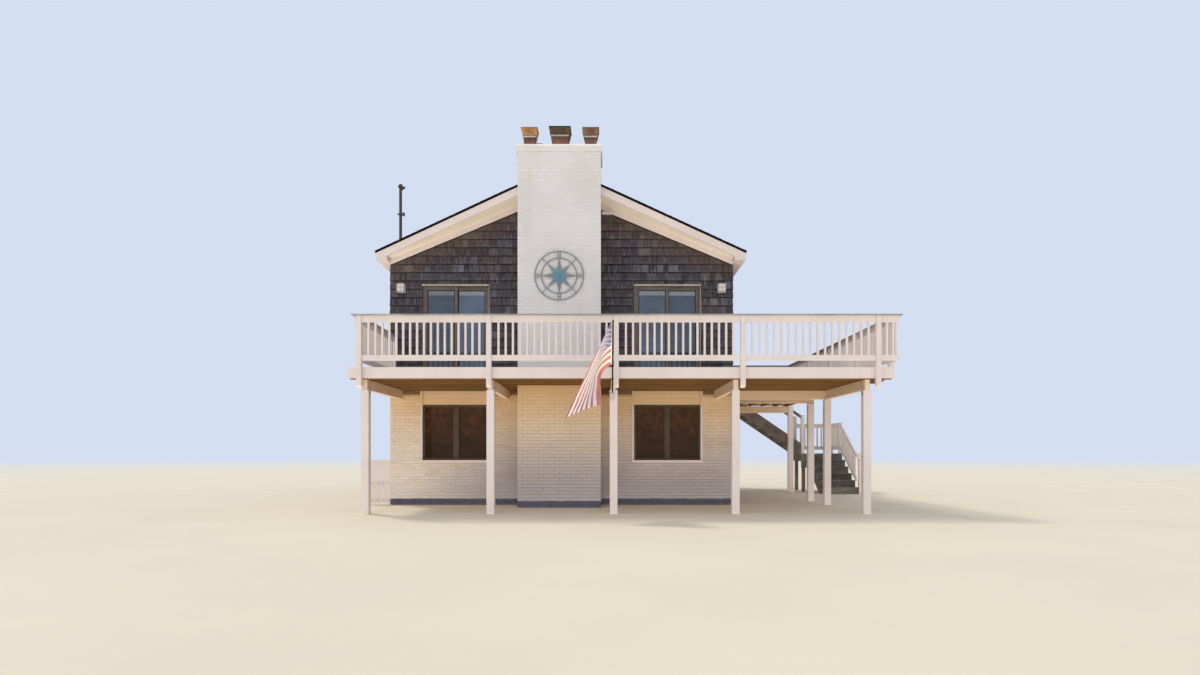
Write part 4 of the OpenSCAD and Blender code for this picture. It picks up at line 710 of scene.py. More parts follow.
def mix_finishes(paints, sizes):
    """Makes every finish once, from the colours and sizes that are set."""
    trim, low_foot_shade = paints.trim_paint, shade(paints.foot_shade, 0.8)
    FINISHES.update(
        brick=masonry_paint("painted brick", paints.warm_lit_brick_paint, paints.foot_shade),
        joints=masonry_paint("painted joints", paints.joint_paint, low_foot_shade),
        chimney=masonry_paint("painted chimney", paints.chimney_paint, paints.foot_shade, paints.warm_lit_brick_paint,
                              0.07),
        chimney_joints=masonry_paint("chimney joints", shade(paints.chimney_paint, 0.96), low_foot_shade,
                                     paints.joint_paint),
        cedar=cedar_finish("cedar shingles", paints.cedar_dark, paints.cedar_light, sizes.shingle_exposure),
        trim_upright=painted_timber("white upright timber", trim),
        trim_across=painted_timber("white timber across", trim, "X"),
        trim_deep=painted_timber("white timber front to back", trim, "Y"),
        rail=painted_timber("white rails with bare caps", trim, "X", 0.6, FLOOR_Z + 0.915),
        casing=painted_timber("white casings", trim, head_warm_light=(0.76, 0.57, 0.37)),
        door=painted_timber("white door", trim, wear=0.2),
        soffit=painted_timber("cream boarding", paints.soffit_paint, "Y", 0.25),
        # The lapped boards are the trim paint tinted by painted warm light from under the deck.
        infill=painted_timber("lapped boards in painted warm light", (0.83, 0.63, 0.39), "X", 0.4),
        # The beams under the deck are the white timber tinted by painted warm light from the sand.
        cross_timber=painted_timber("timber across in painted warm light", (0.71, 0.54, 0.38), "X"),
        beam_timber=painted_timber("timber front to back in painted warm light", (0.72, 0.57, 0.42), "Y"),
        roof=roof_finish("asphalt tabs", paints.roof_tabs),
        clay=clay_finish("fired clay"),
        cap_left=sheet_metal("tan cap", (0.36, 0.2, 0.09), 0.3),
        cap_middle=sheet_metal("dark cap", (0.055, 0.05, 0.048), 0.5, 0.3),
        cap_right=sheet_metal("brown cap", (0.2, 0.135, 0.095), 0.35),
        collar=sheet_metal("pale collar", (0.55, 0.5, 0.44), 0.2, 0.2),
        gauze_left=sheet_metal("tan gauze", (0.85, 0.45, 0.16), 0.2, 0.2),
        gauze_middle=sheet_metal("dark brown gauze", (0.3, 0.18, 0.09), 0.3, 0.3),
        gauze_right=sheet_metal("red brown gauze", (0.42, 0.22, 0.13), 0.3, 0.3),
        zinc=sheet_metal("dull zinc", (0.42, 0.42, 0.41), 0.8, 0.15, 0.42),
        mast=sheet_metal("mast steel", (0.085, 0.07, 0.062), 0.4, 0.35, 0.55),
        rose=rose_finish("weathered rose", paints.teal, paints.rose_grey),
        bronze=frame_finish("dark bronze", paints.bronze, 0.05),
        slider=frame_finish("slider frame", paints.slider, 0.05),
        flashing=frame_finish("pale flashing", (0.5, 0.42, 0.36), 0.1),
        gasket=plain_finish("black gasket", (0.012, 0.012, 0.014), 0.7),
        edging=plain_finish("black edging", (0.006, 0.005, 0.006), 0.85, gleam=0.12),
        low_glass=glass_finish("brown window glass", (0.03, 0.017, 0.008), 0.1, 1.5, 0.12, (0.75, 0.4, 0.2),
                               (0.095, 0.04, 0.014)),
        # The upper panes' blue grey tones are painted reflection of the sky; the paler glass is painted
        # brighter reflection on some leaves.
        high_glass=glass_finish("blue grey window glass", (0.03, 0.05, 0.085), 0.16, 1.55),
        pale_glass=glass_finish("pale blue grey window glass", (0.055, 0.09, 0.155), 0.16, 1.65),
        blind=plain_finish("white blind", (0.74, 0.74, 0.72), 0.7),
        lamp=plain_finish("white lamp metal", (0.5, 0.5, 0.5), 0.4, 0.1, 30),
        opal=plain_finish("opal pane", (0.7, 0.66, 0.6), 0.25, scale=12),
        concrete=plain_finish("concrete slab", (0.36, 0.34, 0.31), 0.85, scale=4),
        meter=plain_finish("meter grey", (0.3, 0.31, 0.32), 0.5, 0.2),
        mortar=plain_finish("mortar wash", (0.8, 0.77, 0.73), 0.9, scale=9),
        boards=bare_timber("floor boards", (0.3, 0.19, 0.1), rough=0.5),
        lumber=bare_timber("bare joists", paints.lumber, "X"),
        planks=bare_timber("deck planks", paints.lumber, rough=0.82, top=paints.planks),
        side_planks=bare_timber("side deck planks", paints.lumber, "X", rough=0.82, top=paints.planks),
        stair=bare_timber("stair timber", paints.stair, "X", 0.5, 0.85),
        pole=pole_finish("flagpole"),
        flag=flag_finish("flag cloth", paints.stripe_red, paints.flag_blue),
    )


# Brickwork

def lay_bricks(shape, spot, area, rng, holes=(), relief=1.0, shift=0.0):
    """Lays courses in running bond over an area (left, low, right, high), cut round its holes."""
    sizes = bpy.context.scene.house_sizes
    left, low, right, high = area
    joint, tall = sizes.mortar, sizes.brick_height
    pitch_x, pitch_z = sizes.brick_length + joint, tall + joint
    for course in range(math.ceil(high / pitch_z) + 1):
        foot = course * pitch_z + joint / 2
        if foot >= high or foot + tall <= low:
            continue
        start = left - pitch_x + shift + (0.5 * pitch_x if course % 2 else 0.0)
        for k in range(int((right - start) / pitch_x) + 2):
            side = start + k * pitch_x
            brick = (max(side, left), max(foot, low), min(side + sizes.brick_length, right),
                     min(foot + tall, high))
            if sliver(brick, 0.02, 0.012):
                continue
            out = relief * sizes.brick_proud * rng.uniform(0.65, 1.25)
            tilt = rng.uniform(-0.0012, 0.0012)
            for part in cut([brick], holes):
                if sliver(part, 0.012, 0.01):
                    continue
                outs = (out, out + tilt, out + tilt, out)
                shape.slab([spot(a, u, -0.001) for a, u in rect(*part, -0.04 * joint)],
                           [spot(a, u, o) for (a, u), o in zip(rect(*part, 0.12 * joint), outs)])


class HOUSE_OT_brickwork(bpy.types.Operator):
    """Lays the painted bricks of the ground storey"""
    bl_idname = "house.brickwork"
    bl_label = "Brickwork"

    def execute(self, context):
        rng = random.Random(context.scene.house_sizes.seed)
        shape, sills = Shape(), Shape()
        front = [hole(s * WINDOW_X, SILL_Z - 0.045, WINDOW_W + 2 * CASING_W, STOREY_Z) for s in SIDES]
        front.append((-CHIMNEY_HALF, 0, CHIMNEY_HALF, STOREY_Z))
        back, left = holes_of(SILL_Z)
        right = [hole(SIDE_WINDOWS[1], SILL_Z), hole(SIDE_WINDOWS[0], DOOR_Z, DOOR_W, DOOR_H)]
        wide = HALF_W + CORNER_GAP
        for spot, half, holes, shift in ((on_front, wide, front, 0.0), (on_back, wide, back, 0.0),
                                         (on_left, BACK_Y, left, 0.05), (on_right, BACK_Y, right, 0.05)):
            lay_bricks(shape, spot, (-half, 0, half, STOREY_Z), rng, holes, shift=shift)
        show("ground_bricks", shape, "brick")
        for spot, places in ((on_back, (-WINDOW_X, WINDOW_X)), (on_left, [-y for y in SIDE_WINDOWS]),
                             (on_right, SIDE_WINDOWS[1:])):
            for centre in places:
                self.lay_sill(sills, spot, centre, rng)
        show("brick_sills", sills, "brick", bevel=0.003)
        dress("joints", "ground_front_wall", "ground_back_wall", "ground_left_wall", "ground_right_wall")
        dress("concrete", "ground_floor")
        dress("boards", "upper_floor")
        return {"FINISHED"}

    def lay_sill(self, shape, spot, centre, rng):
        """Lays a sloping sill of bricks on edge under a window."""
        count = 21
        width = WINDOW_W / count
        for k in range(count):
            left = centre - WINDOW_W / 2 + k * width + 0.004
            face = (left, SILL_Z - 0.075, left + width - 0.008, SILL_Z - 0.006)
            shape.block(spot, rect(*face), -0.02, 0.018 + rng.uniform(-0.002, 0.002),
                        rect(*face[:3], face[3] - 0.009), closed=False)


class HOUSE_OT_chimney(bpy.types.Operator):
    """Lays the chimney's bricks, its mortar wash and the details of its flues"""
    bl_idname = "house.chimney"
    bl_label = "Chimney"

    def execute(self, context):
        rng = random.Random(context.scene.house_sizes.seed + 1)
        shape = Shape()
        wide = CHIMNEY_HALF + 0.0015
        across, right, left = (-wide, wide), (CHIMNEY_FRONT, FRONT_Y), (-FRONT_Y, -CHIMNEY_FRONT)

        def lay(spot, ends, low, high, relief, shift):
            lay_bricks(shape, spot, (ends[0], low, ends[1], high), rng, relief=relief, shift=shift)

        for low, high, relief in ((0, STOREY_Z, 1.0), (STOREY_Z, CROWN_Z, CROWN_RELIEF)):
            lay(on_chimney, across, low, high, relief, 0.0)
            lay(on_chimney_right, right, low, high, relief, 0.06)
            lay(on_chimney_left, left, low, high, relief, 0.06)
        lay(on_chimney_back, across, APEX_Z + 0.17, CROWN_Z, CROWN_RELIEF, 0.0)
        for spot, ends in ((on_chimney, across), (on_chimney_back, across), (on_chimney_right, right),
                           (on_chimney_left, left)):
            wider = (ends[0] - CROWN_LIP, ends[1] + CROWN_LIP)
            lay(lambda a, u, out: spot(a, u, out + CROWN_LIP), wider, CROWN_Z, CHIMNEY_HIGH.z,
                CROWN_RELIEF, 0.02)
        show("chimney_bricks", shape, "chimney")
        dress("chimney_joints", "chimney_stack")
        dress("clay", "flue_liners", bevel=0.003)
        self.spread_wash()
        self.lay_strap()
        self.line_cages()
        return {"FINISHED"}

    def spread_wash(self):
        """Spreads sloping mortar on the crown, up to the foot of the flues."""
        shape = Shape()
        z, middle = CHIMNEY_HIGH.z, (CHIMNEY_LOW.y + CHIMNEY_HIGH.y) / 2
        edge = rect(-CHIMNEY_HIGH.x, CHIMNEY_LOW.y, CHIMNEY_HIGH.x, CHIMNEY_HIGH.y, 0.012)
        top = rect(-0.79, middle - 0.24, 0.79, middle + 0.24)
        points = [(a, b, z + up) for ring, up in ((edge, 0.0), (edge, 0.008), (top, 0.032)) for a, b in ring]
        shape.add(points, band(0, 4, 4) + band(4, 8, 4) + [(8, 9, 10, 11), (3, 2, 1, 0)])
        show("mortar_wash", shape, "mortar", bevel=0.003)

    def lay_strap(self):
        """Lays the thin strap that lies loose on the crown's front edge."""
        shape = Shape()
        wide, thick = 0.022, 0.004
        bends = ((-0.51, 0.03, 0.012), (-0.44, 0.036, 0.03), (-0.37, 0.03, 0.026), (-0.31, 0.034, 0.011))
        points = [(x, CHIMNEY_LOW.y + y, CHIMNEY_HIGH.z + z) for x, y, z in bends]
        for (x1, y1, z1), (x2, y2, z2) in zip(points, points[1:]):
            under = ((x1, y1, z1), (x2, y2, z2), (x2, y2 + wide, z2), (x1, y1 + wide, z1))
            shape.slab(under, [(x, y, z + thick) for x, y, z in under], closed=True)
        show("cap_strap", shape, "cap_middle")

    def line_cages(self):
        """Lines the caps' cages with wire gauze and folds a pale collar round each cap's foot."""
        collars = Shape()
        wire, tall = 0.0014, 0.14
        for name, flue_w, slot in CAPS:
            gauze = Shape()
            low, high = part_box("flue_cap_" + name)
            x, y = (low.x + high.x) / 2, (low.y + high.y) / 2
            flue, z = flue_w / 2, low.z + 0.045
            foot, top = flue + 0.0135, flue + 0.036
            for k in range(4):
                cos, sin = math.cos(k * math.pi / 2), math.sin(k * math.pi / 2)

                def spot(a, u, out):
                    return (x + a * cos + out * sin, y + a * sin - out * cos, u)
                for n in range(13):
                    a1, a2 = ((2 * n / 12 - 1) * (w - 0.006) for w in (foot, top))
                    corners = ((a1 - wire, z + 0.008, foot), (a1 + wire, z + 0.008, foot),
                               (a2 + wire, z + 0.132, top), (a2 - wire, z + 0.132, top))
                    gauze.slab([spot(a, u, out - 0.002) for a, u, out in corners],
                               [spot(*corner) for corner in corners], closed=True)
                for n in range(11):
                    up = 0.012 + n * 0.0116
                    out = foot + (top - foot) * up / tall
                    gauze.block(spot, rect(-out + 0.006, z + up, out - 0.006, z + up + 0.003),
                                out - 0.004, out - 0.001)
                edge = flue + 0.004
                collars.block(spot, rect(-edge, low.z + 0.003, edge, low.z + 0.038), flue + 0.0005, edge)
            show("cap_gauze_" + name, gauze, "gauze_" + name)
            dress("cap_" + name, "flue_cap_" + name)
        show("cap_collars", collars, "collar", bevel=0.001)


# Shingles

def hang_shingles(shape, spot, half, low, rng, holes, gable):
    """Hangs courses of uneven shingles on a wall, under the eaves or up to a gable's slopes."""
    sizes = bpy.context.scene.house_sizes
    exposure = sizes.shingle_exposure
    high = APEX_Z - FRIEZE_H if gable else EAVE_LOW_Z
    row = first = math.floor((low - FLOOR_Z) / exposure)
    while FLOOR_Z + row * exposure < high:
        foot = max(low, FLOOR_Z + row * exposure)
        side = -half - rng.uniform(0.02, 0.16)
        while side < half:
            width = rng.choice(SHINGLE_WIDTHS) + rng.uniform(-0.012, 0.012)
            x1, x2 = max(-half, side + SHINGLE_GAP / 2), min(half, side + width - SHINGLE_GAP / 2)
            side += width
            butt = foot + (rng.uniform(-0.004, 0.004) if row > first else 0.0)
            top = FLOOR_Z + (row + 1) * exposure + 0.012
            thick = sizes.shingle_butt * rng.uniform(0.8, 1.15)
            twist = rng.uniform(-0.0014, 0.0014)
            if x2 - x1 < 0.012:
                continue
            for part in cut([(x1, butt, x2, top)], holes):
                l, b, r, t = part
                top_l, top_r = (min(t, under_roof(a) - FRIEZE_H if gable else high) for a in (l, r))
                if sliver(part, 0.01, 0.015) or min(top_l, top_r) - b < 0.01:
                    continue
                outline = ((l, b), (r, b), (r, top_r), (l, top_l))
                thin = 0.0025
                outs = [thin + (thick - thin) * (top - u) / (top - butt) + (twist if a == l else -twist)
                        for a, u in outline]
                shape.slab([spot(a, u, 0.0) for a, u in outline],
                           [spot(a, u, out) for (a, u), out in zip(outline, outs)])
        row += 1


class HOUSE_OT_shingles(bpy.types.Operator):
    """Hangs the cedar shingles of the upper storey"""
    bl_idname = "house.shingles"
    bl_label = "Wall shingles"

    def execute(self, context):
        rng = random.Random(context.scene.house_sizes.seed + 2)
        wide = HALF_W + CORNER_GAP
        front = [hole(s * WINDOW_X, FLOOR_Z, SLIDER_W, SLIDER_H) for s in SIDES]
        front.append((-CHIMNEY_HALF - CORNER_GAP, STOREY_Z, CHIMNEY_HALF + CORNER_GAP, APEX_Z + 1))
        front += [hole(s * LAMP_X, LAMP_Z - LAMP_H / 2 - 0.01, LAMP_W + 0.02, LAMP_H + 0.02) for s in SIDES]
        back, left = holes_of(UPPER_SILL_Z)
        right = [hole(SIDE_WINDOWS[1], UPPER_SILL_Z), hole(SIDE_WINDOWS[0], FLOOR_Z, SLIDER_W, SLIDER_H),
                 (-BACK_Y, STOREY_Z - 0.1, DECK_BACK + 0.05, FLOOR_Z),
                 (DECK_BACK, STOREY_Z - 0.1, FLIGHT_BACK + 0.06, FLOOR_Z)]
        low = STOREY_Z + CORNER_GAP
        for name, spot, half, foot, holes, gable in (
                ("front", on_front, wide, FLOOR_Z, front, True), ("back", on_back, wide, low, back, True),
                ("left", on_left, BACK_Y, low, left, False), ("right", on_right, BACK_Y, low, right, False)):
            shape = Shape()
            hang_shingles(shape, spot, half, foot, rng, holes, gable)
            show(name + "_shingles", shape, "cedar")
            dress("cedar", f"upper_{name}_wall")
        self.trim_windows(back, left, right[:1])
        return {"FINISHED"}

    def trim_windows(self, back, left, right):
        """Closes the shingles round the upper windows with thin boards."""
        shape = Shape()
        trim = 0.045
        for spot, holes in ((on_back, back), (on_left, left), (on_right, right)):
            for l, b, r, t in holes:
                shape.framed(spot, (l - trim, b - trim, r + trim, t + trim), trim, 0.0, 0.021)
                shape.block(spot, rect(l - 0.06, b - 0.062, r + 0.06, b - 0.04), 0.0, 0.036)
        show("upper_casings", shape, "slider", bevel=0.002)


# Roof

def on_slope(side, across, along, out):
    """A place over a roof's covering: distance from the ridge line, place along Y, height over it."""
    return (side * (across + out * SLOPE / LEAN), along, under_roof(across) + ROOF_TOP + out / LEAN)


def prow(across):
    """Front edge of the roof at a distance from the ridge line."""
    return FRONT_Y - PROW_RIDGE + (PROW_RIDGE - PROW_EAVE) * across / EAVE_X


def cover_front(across):
    """Front edge of the covering at a distance from the ridge line; the chimney cuts it back."""
    return FRONT_Y if across < CHIMNEY_HALF else prow(across) - COVER_LIP


def lay_on_slope(shape, side, corners, base):
    """Adds a tab to a slope, from a base height to corners of a distance, a place along Y and a height."""
    shape.slab([on_slope(side, a, y, base) for a, y, out in corners][::side],
               [on_slope(side, *corner) for corner in corners][::side])


class HOUSE_OT_roof(bpy.types.Operator):
    """Lays the roof's tabs and capping, and finishes its boards"""
    bl_idname = "house.roof"
    bl_label = "Roof"

    def execute(self, context):
        sizes = context.scene.house_sizes
        rng = random.Random(sizes.seed + 3)
        for side, name in zip(SIDES, ("left", "right")):
            shape = Shape()
            self.lay_tabs(shape, side, sizes, rng)
            show("roof_tabs_" + name, shape, "roof")
        self.lay_caps(rng)
        dress("roof", "roof_cover_left", "roof_cover_right")
        dress("soffit", "roof_left", "roof_right")
        dress("trim_across", "rake_boards")
        dress("trim_deep", "eave_boards")
        self.close_edges()
        return {"FINISHED"}

    def lay_tabs(self, shape, side, sizes, rng):
        """Lays overlapping courses of tabs from the eave to the ridge."""
        back, width = ROOF_BACK + COVER_LIP, sizes.tab_width
        step = sizes.tab_exposure / LEAN
        eave = EAVE_X + COVER_LIP
        row = 0
        while eave - row * step > 0.06:
            lower = eave - row * step
            upper = max(0.0, lower - step - 0.02)
            start = FRONT_Y - 1.4 + (width / 2 if row % 2 else 0.0) + rng.uniform(-0.012, 0.012)
            for k in range(int((back - start) / width) + 1):
                near = start + k * width + 0.003
                far = min(near + width - 0.006, back)
                front_low, front_high = max(near, cover_front(lower)), max(near, cover_front(upper))
                if far - front_low < 0.02 or far - front_high < 0.02:
                    continue
                butt = 0.0055 * rng.uniform(0.8, 1.3)
                edge = lower + (rng.uniform(-0.003, 0.002) if row else 0.0)
                lay_on_slope(shape, side, ((edge, front_low, butt), (edge, far, butt), (upper, far, 0.001),
                                           (upper, front_high, 0.001)), -0.001)
            row += 1

    def lay_caps(self, rng):
        """Lays bent caps over the ridge, from behind the chimney to the back."""
        shape = Shape()
        half, step, back = 0.15, 0.143, ROOF_BACK + COVER_LIP
        for k in range(int((back - FRONT_Y - 0.02) / step) + 1):
            far = back - k * step
            near = max(FRONT_Y + 0.002, far - step - 0.03)
            high = 0.0145 + rng.uniform(-0.001, 0.002)
            for side in SIDES:
                lay_on_slope(shape, side, ((0.0, near, 0.003), (half, near, 0.003), (half, far, high),
                                           (0.0, far, high)), 0.001)
        show("ridge_tabs", shape, "roof", stands_for=("ridge_cap",))

    def close_edges(self):
        """Sets the metal edges under the tabs and the strips along the gables' boards."""
        drip, strip, black = Shape(), Shape(), Shape()
        z = under_roof(EAVE_X) + ROOF_T
        strip_form = ((0.001, -0.062), (0.015, -0.058), (0.015, 0.0), (0.001, 0.0))
        black_form = ((0.0152, -0.024), (0.0212, -0.024), (0.0212, 0.0285), (0.0184, 0.0285),
                      (0.0184, -0.0004), (0.0152, -0.0004))
        for side in SIDES:
            edge = rect(EAVE_X + 0.001, z - 0.045, EAVE_X + 0.004, z)[::side]
            drip.block(lambda a, u, y: (side * a, y, u), edge, prow(EAVE_X), ROOF_BACK)
            for start, out in ((CHIMNEY_HALF, -1), (0.0, 1)):
                for shape, form in ((strip, strip_form), (black, black_form)):
                    ends = []
                    for across in (start, EAVE_X):
                        y, top = prow(across) if out < 0 else ROOF_BACK, under_roof(across) + ROOF_T
                        ends.append([(side * across, y + out * away, top + up) for away, up in form])
                    shape.slab(*ends[::-side * out], closed=True)
        strip.box((0.86, FRONT_Y - 0.075, 6.165), (1.09, FRONT_Y - 0.0005, 6.215))
        show("drip_edges", drip, "edging")
        show("rake_edges", black, "edging")
        show("rake_strips", strip, "trim_across", bevel=0.002)


# Windows and doors

def place_on(spot, centre, sill):
    """Places for a window: across from its middle, up from its sill, and out of the wall's face."""
    return lambda a, u, out: spot(centre + a, sill + u, out)


def sash(bars, panes, put, box, bar, back, front, pane, inset):
    """Adds a mitred inner frame with its narrow glazing bead, and the pane that it holds."""
    left, low, right, high = box
    inner = bar - 0.002
    bars.framed(put, box, bar, -back, -front)
    bars.framed(put, (left + inner, low + inner, right - inner, high - inner), 0.006, -back, -front - 0.009)
    panes.block(put, rect(*box, inset), -pane - 0.006, -pane)


class HOUSE_OT_windows(bpy.types.Operator):
    """Fits sashes, panes, blinds and handles into the windows and sliding doors"""
    bl_idname = "house.windows"
    bl_label = "Windows and sliding doors"

    def execute(self, context):
        bars, gaskets, tracks, flashings, blinds = (Shape() for _ in range(5))
        low_panes, high_panes, pale_panes = Shape(), Shape(), Shape()
        windows = [(on_front, s * WINDOW_X, SILL_Z) for s in SIDES]
        windows += [(on_back, s * WINDOW_X, z) for s in SIDES for z in (SILL_Z, UPPER_SILL_Z)]
        windows += [(on_left, -y, z) for y in SIDE_WINDOWS for z in (SILL_Z, UPPER_SILL_Z)]
        windows += [(on_right, SIDE_WINDOWS[1], z) for z in (SILL_Z, UPPER_SILL_Z)]
        pane_w = (WINDOW_W - 2 * FRAME_W - MULLION_W) / 2
        for spot, centre, sill in windows:
            for side in SIDES:
                middle = side * (MULLION_W + pane_w) / 2
                box = (middle - pane_w / 2, FRAME_W, middle + pane_w / 2, WINDOW_H - FRAME_W)
                panes = low_panes if sill == SILL_Z else high_panes
                sash(bars, panes, place_on(spot, centre, sill), box, bar=0.004, back=FRAME_SET + 0.075,
                     front=FRAME_SET + 0.028 - 0.006 * side, pane=FRAME_SET + 0.047, inset=0.002)
        half, edge = SLIDER_W / 2, FRAME_W + STILE_W
        leaves = ((-half + edge, -STILE_W / 2, 0.025), (STILE_W / 2, half - edge, 0.075))
        spans = ((-half + edge - 0.03, -0.02), (0.02, half - edge + 0.03))
        sliders = ((on_front, -WINDOW_X), (on_front, WINDOW_X), (on_right, SIDE_WINDOWS[0]))
        for number, (spot, centre) in enumerate(sliders):
            put = place_on(spot, centre, FLOOR_Z)
            for leaf, (left, right, behind) in enumerate(leaves):
                depth = FRAME_SET + behind
                panes = pale_panes if leaf != number else high_panes
                # The black gaskets are partly painted shade of the frames' depth round the panes.
                sash(gaskets, panes, put, (left, edge, right, SLIDER_H - edge), bar=0.012,
                     back=depth + 0.01, front=depth - 0.012, pane=depth - 0.003, inset=-0.004)
            self.fit_slider(tracks, flashings, put, half)
            self.hang_blinds(blinds, put, spans if number else spans[1:])
        show("window_sashes", bars, "bronze", bevel=0.0015)
        show("slider_gaskets", gaskets, "gasket")
        show("slider_tracks", tracks, "slider", bevel=0.0015)
        show("slider_flashings", flashings, "flashing", bevel=0.0015)
        show("lower_panes", low_panes, "low_glass")
        show("upper_panes", high_panes, "high_glass",
             stands_for=("front_glass", "left_glass", "right_glass", "back_glass"))
        show("pale_panes", pale_panes, "pale_glass")
        show("blinds", blinds, "blind", bevel=0.003)
        dress("bronze", "front_windows", "side_windows_left", "side_windows_right", "back_windows",
              bevel=0.003)
        dress("slider", "slider_left", "slider_right", bevel=0.003)
        dress("infill", "window_heads")
        dress("casing", "window_casings", bevel=0.003)
        return {"FINISHED"}

    def fit_slider(self, tracks, flashings, put, half):
        """Adds a sliding door's sill tracks, handle, head flashing and the bead down its lock side."""
        wide, tall = half - FRAME_W, SLIDER_H
        x, face = wide - STILE_W / 2, -FRAME_SET - FRAME_D / 2
        track = rect(-wide + 0.002, FRAME_W - 0.002, wide - 0.002, FRAME_W + 0.012)
        for out in (-FRAME_SET - 0.022, -FRAME_SET - 0.07):
            tracks.block(put, track, out - 0.006, out)
        handle = ((0.014, 0.92, 1.12, 0.0, 0.006), (0.008, 0.945, 0.965, 0.004, 0.034),
                  (0.008, 1.075, 1.095, 0.004, 0.034), (0.01, 0.94, 1.1, 0.026, 0.036))
        for half_w, low, high, back, front in handle:
            tracks.block(put, rect(x - half_w, low, x + half_w, high), face + back, face + front)
        flashings.block(put, rect(-half, tall - 0.004, half, tall + 0.006), -FRAME_SET, 0.022)
        flashings.block(put, rect(-half, tall - 0.022, half, tall - 0.004), 0.018, 0.022)
        flashings.block(put, rect(half - 0.014, 0.0, half, tall - 0.024), -FRAME_SET, -FRAME_SET + 0.008)

    def hang_blinds(self, shape, put, spans):
        """Hangs the box and the gathered slats of a blind behind a sliding door's head."""
        for left, right in spans:
            for k in range(3):
                high = SLIDER_H - FRAME_W - STILE_W + 0.01 - k * 0.034
                shape.block(put, rect(left, high - 0.03, right, high), -0.15 - 0.004 * k, -0.125)


class HOUSE_OT_fittings(bpy.types.Operator):
    """Finishes the entry door, the wall lamps and the meter"""
    bl_idname = "house.fittings"
    bl_label = "Door, lamps and meter"

    def execute(self, context):
        dress("door", "entry_door", bevel=0.003)
        dress("lamp", "wall_lamps", bevel=0.002)
        dress("meter", "meter_box", bevel=0.008)
        self.dress_door()
        self.light_lamps()
        self.fit_meter()
        return {"FINISHED"}

    def dress_door(self):
        """Adds the raised fields of the door's panels, its lock plate and its threshold."""
        put = place_on(on_right, SIDE_WINDOWS[0], DOOR_Z)
        fields, metal = Shape(), Shape()
        inner_w, inner_h, stile = DOOR_W - 0.09, DOOR_H - 0.065, 0.11
        panel_w, panel_h = (inner_w - 3 * stile) / 2, (inner_h - 3.5 * stile) / 2
        face = -FRAME_SET - 0.02
        for side in SIDES:
            for row in (0, 1):
                middle = side * (panel_w + stile) / 2
                low = 0.02 + 1.5 * stile + row * (panel_h + stile)
                panel = (middle - panel_w / 2, low, middle + panel_w / 2, low + panel_h)
                fields.block(put, rect(*panel, 0.022), face - 0.013, face - 0.004, rect(*panel, 0.042),
                             closed=False)
        show("door_fields", fields, "door", bevel=0.002)
        for up, profile in ((0.0, ((0.034, 0.0), (0.034, 0.004), (0.028, 0.008))),
                            (0.16, ((0.027, 0.0), (0.027, 0.006), (0.021, 0.014)))):
            lock = place_on(put, inner_w / 2 - 0.6 * stile, DOOR_H / 2 + up)
            metal.turned(lambda a, u, out: lock(a, u, face + out), profile, 20)
        metal.block(put, rect(-DOOR_W / 2, -0.018, DOOR_W / 2, 0.0), -FRAME_SET - 0.09, 0.012)
        show("door_metal", metal, "zinc")

    def light_lamps(self):
        """Fits frosted panes into the lamps."""
        panes = Shape()
        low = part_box("wall_lamps")[0]
        near = LAMP_BAR / 2 + 0.0005
        wide, tall = LAMP_W / 2 - LAMP_BAR - 0.0005, LAMP_H / 2 - LAMP_BAR - 0.0005

        def spot(a, u, out):
            return (a, low.y - out, u)
        for x in (-LAMP_X, LAMP_X):
            for side in SIDES:
                for row in SIDES:
                    left, right = sorted((x + side * near, x + side * wide))
                    foot, top = sorted((LAMP_Z + row * near, LAMP_Z + row * tall))
                    pane = (left, foot, right, top)
                    panes.block(spot, rect(*pane), -0.0062, -0.003, rect(*pane, 0.005), closed=False)
        show("lamp_panes", panes, "opal")

    def fit_meter(self):
        """Fits the meter's rim, its glass dome and its lower fins."""
        low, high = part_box("meter_box")
        y, z = (low.y + high.y) / 2, (low.z + high.z) / 2 + 0.05
        rim, dome = Shape(), Shape()

        def spot(a, u, out):
            return (low.x - out, y - a, z + u)
        rim.turned(spot, ((0.085, -0.004), (0.085, 0.012), (0.078, 0.016), (0.07, 0.016), (0.07, 0.004)), 32)
        for k in range(4):
            fin = low.z + 0.05 + k * 0.012
            rim.box((low.x - 0.003, y - 0.1, fin), (low.x + 0.002, y + 0.1, fin + 0.004))
        show("meter_rim", rim, "zinc")
        dome.turned(spot, ((0.069, 0.002), (0.069, 0.03), (0.062, 0.042), (0.045, 0.05), (0.02, 0.053)), 32)
        show("meter_dome", dome, "low_glass", smooth=True)


# Deck

def planks_over(low, high, sizes):
    """Left and right edges of planks laid side by side."""
    width, gap = sizes.plank_width, sizes.plank_gap
    count = max(1, round((high - low + gap) / (width + gap)))
    pitch = (high - low + gap) / count
    return [(low + k * pitch, low + (k + 1) * pitch - gap) for k in range(count)]


def upright(x, y, z):
    """Places round a point, seen from above."""
    return lambda a, b, up: (x + a, y + b, z + up)


def nail_head(shape, x, y, z, radius=0.0035):
    """Adds one flat six-sided nail head."""
    shape.turned(upright(x, y, z), ((radius, -0.001), (radius * 0.8, 0.0012)), 6)


def bolt(shape, spot, size):
    """Adds a washer, a six-sided head and a stub, pointing out of a face."""
    shape.turned(spot, ((size * 1.5, -0.001), (size * 1.5, 0.003)), 14)
    shape.turned(spot, ((size, 0.003), (size, 0.011), (size * 0.85, 0.013)), 6)


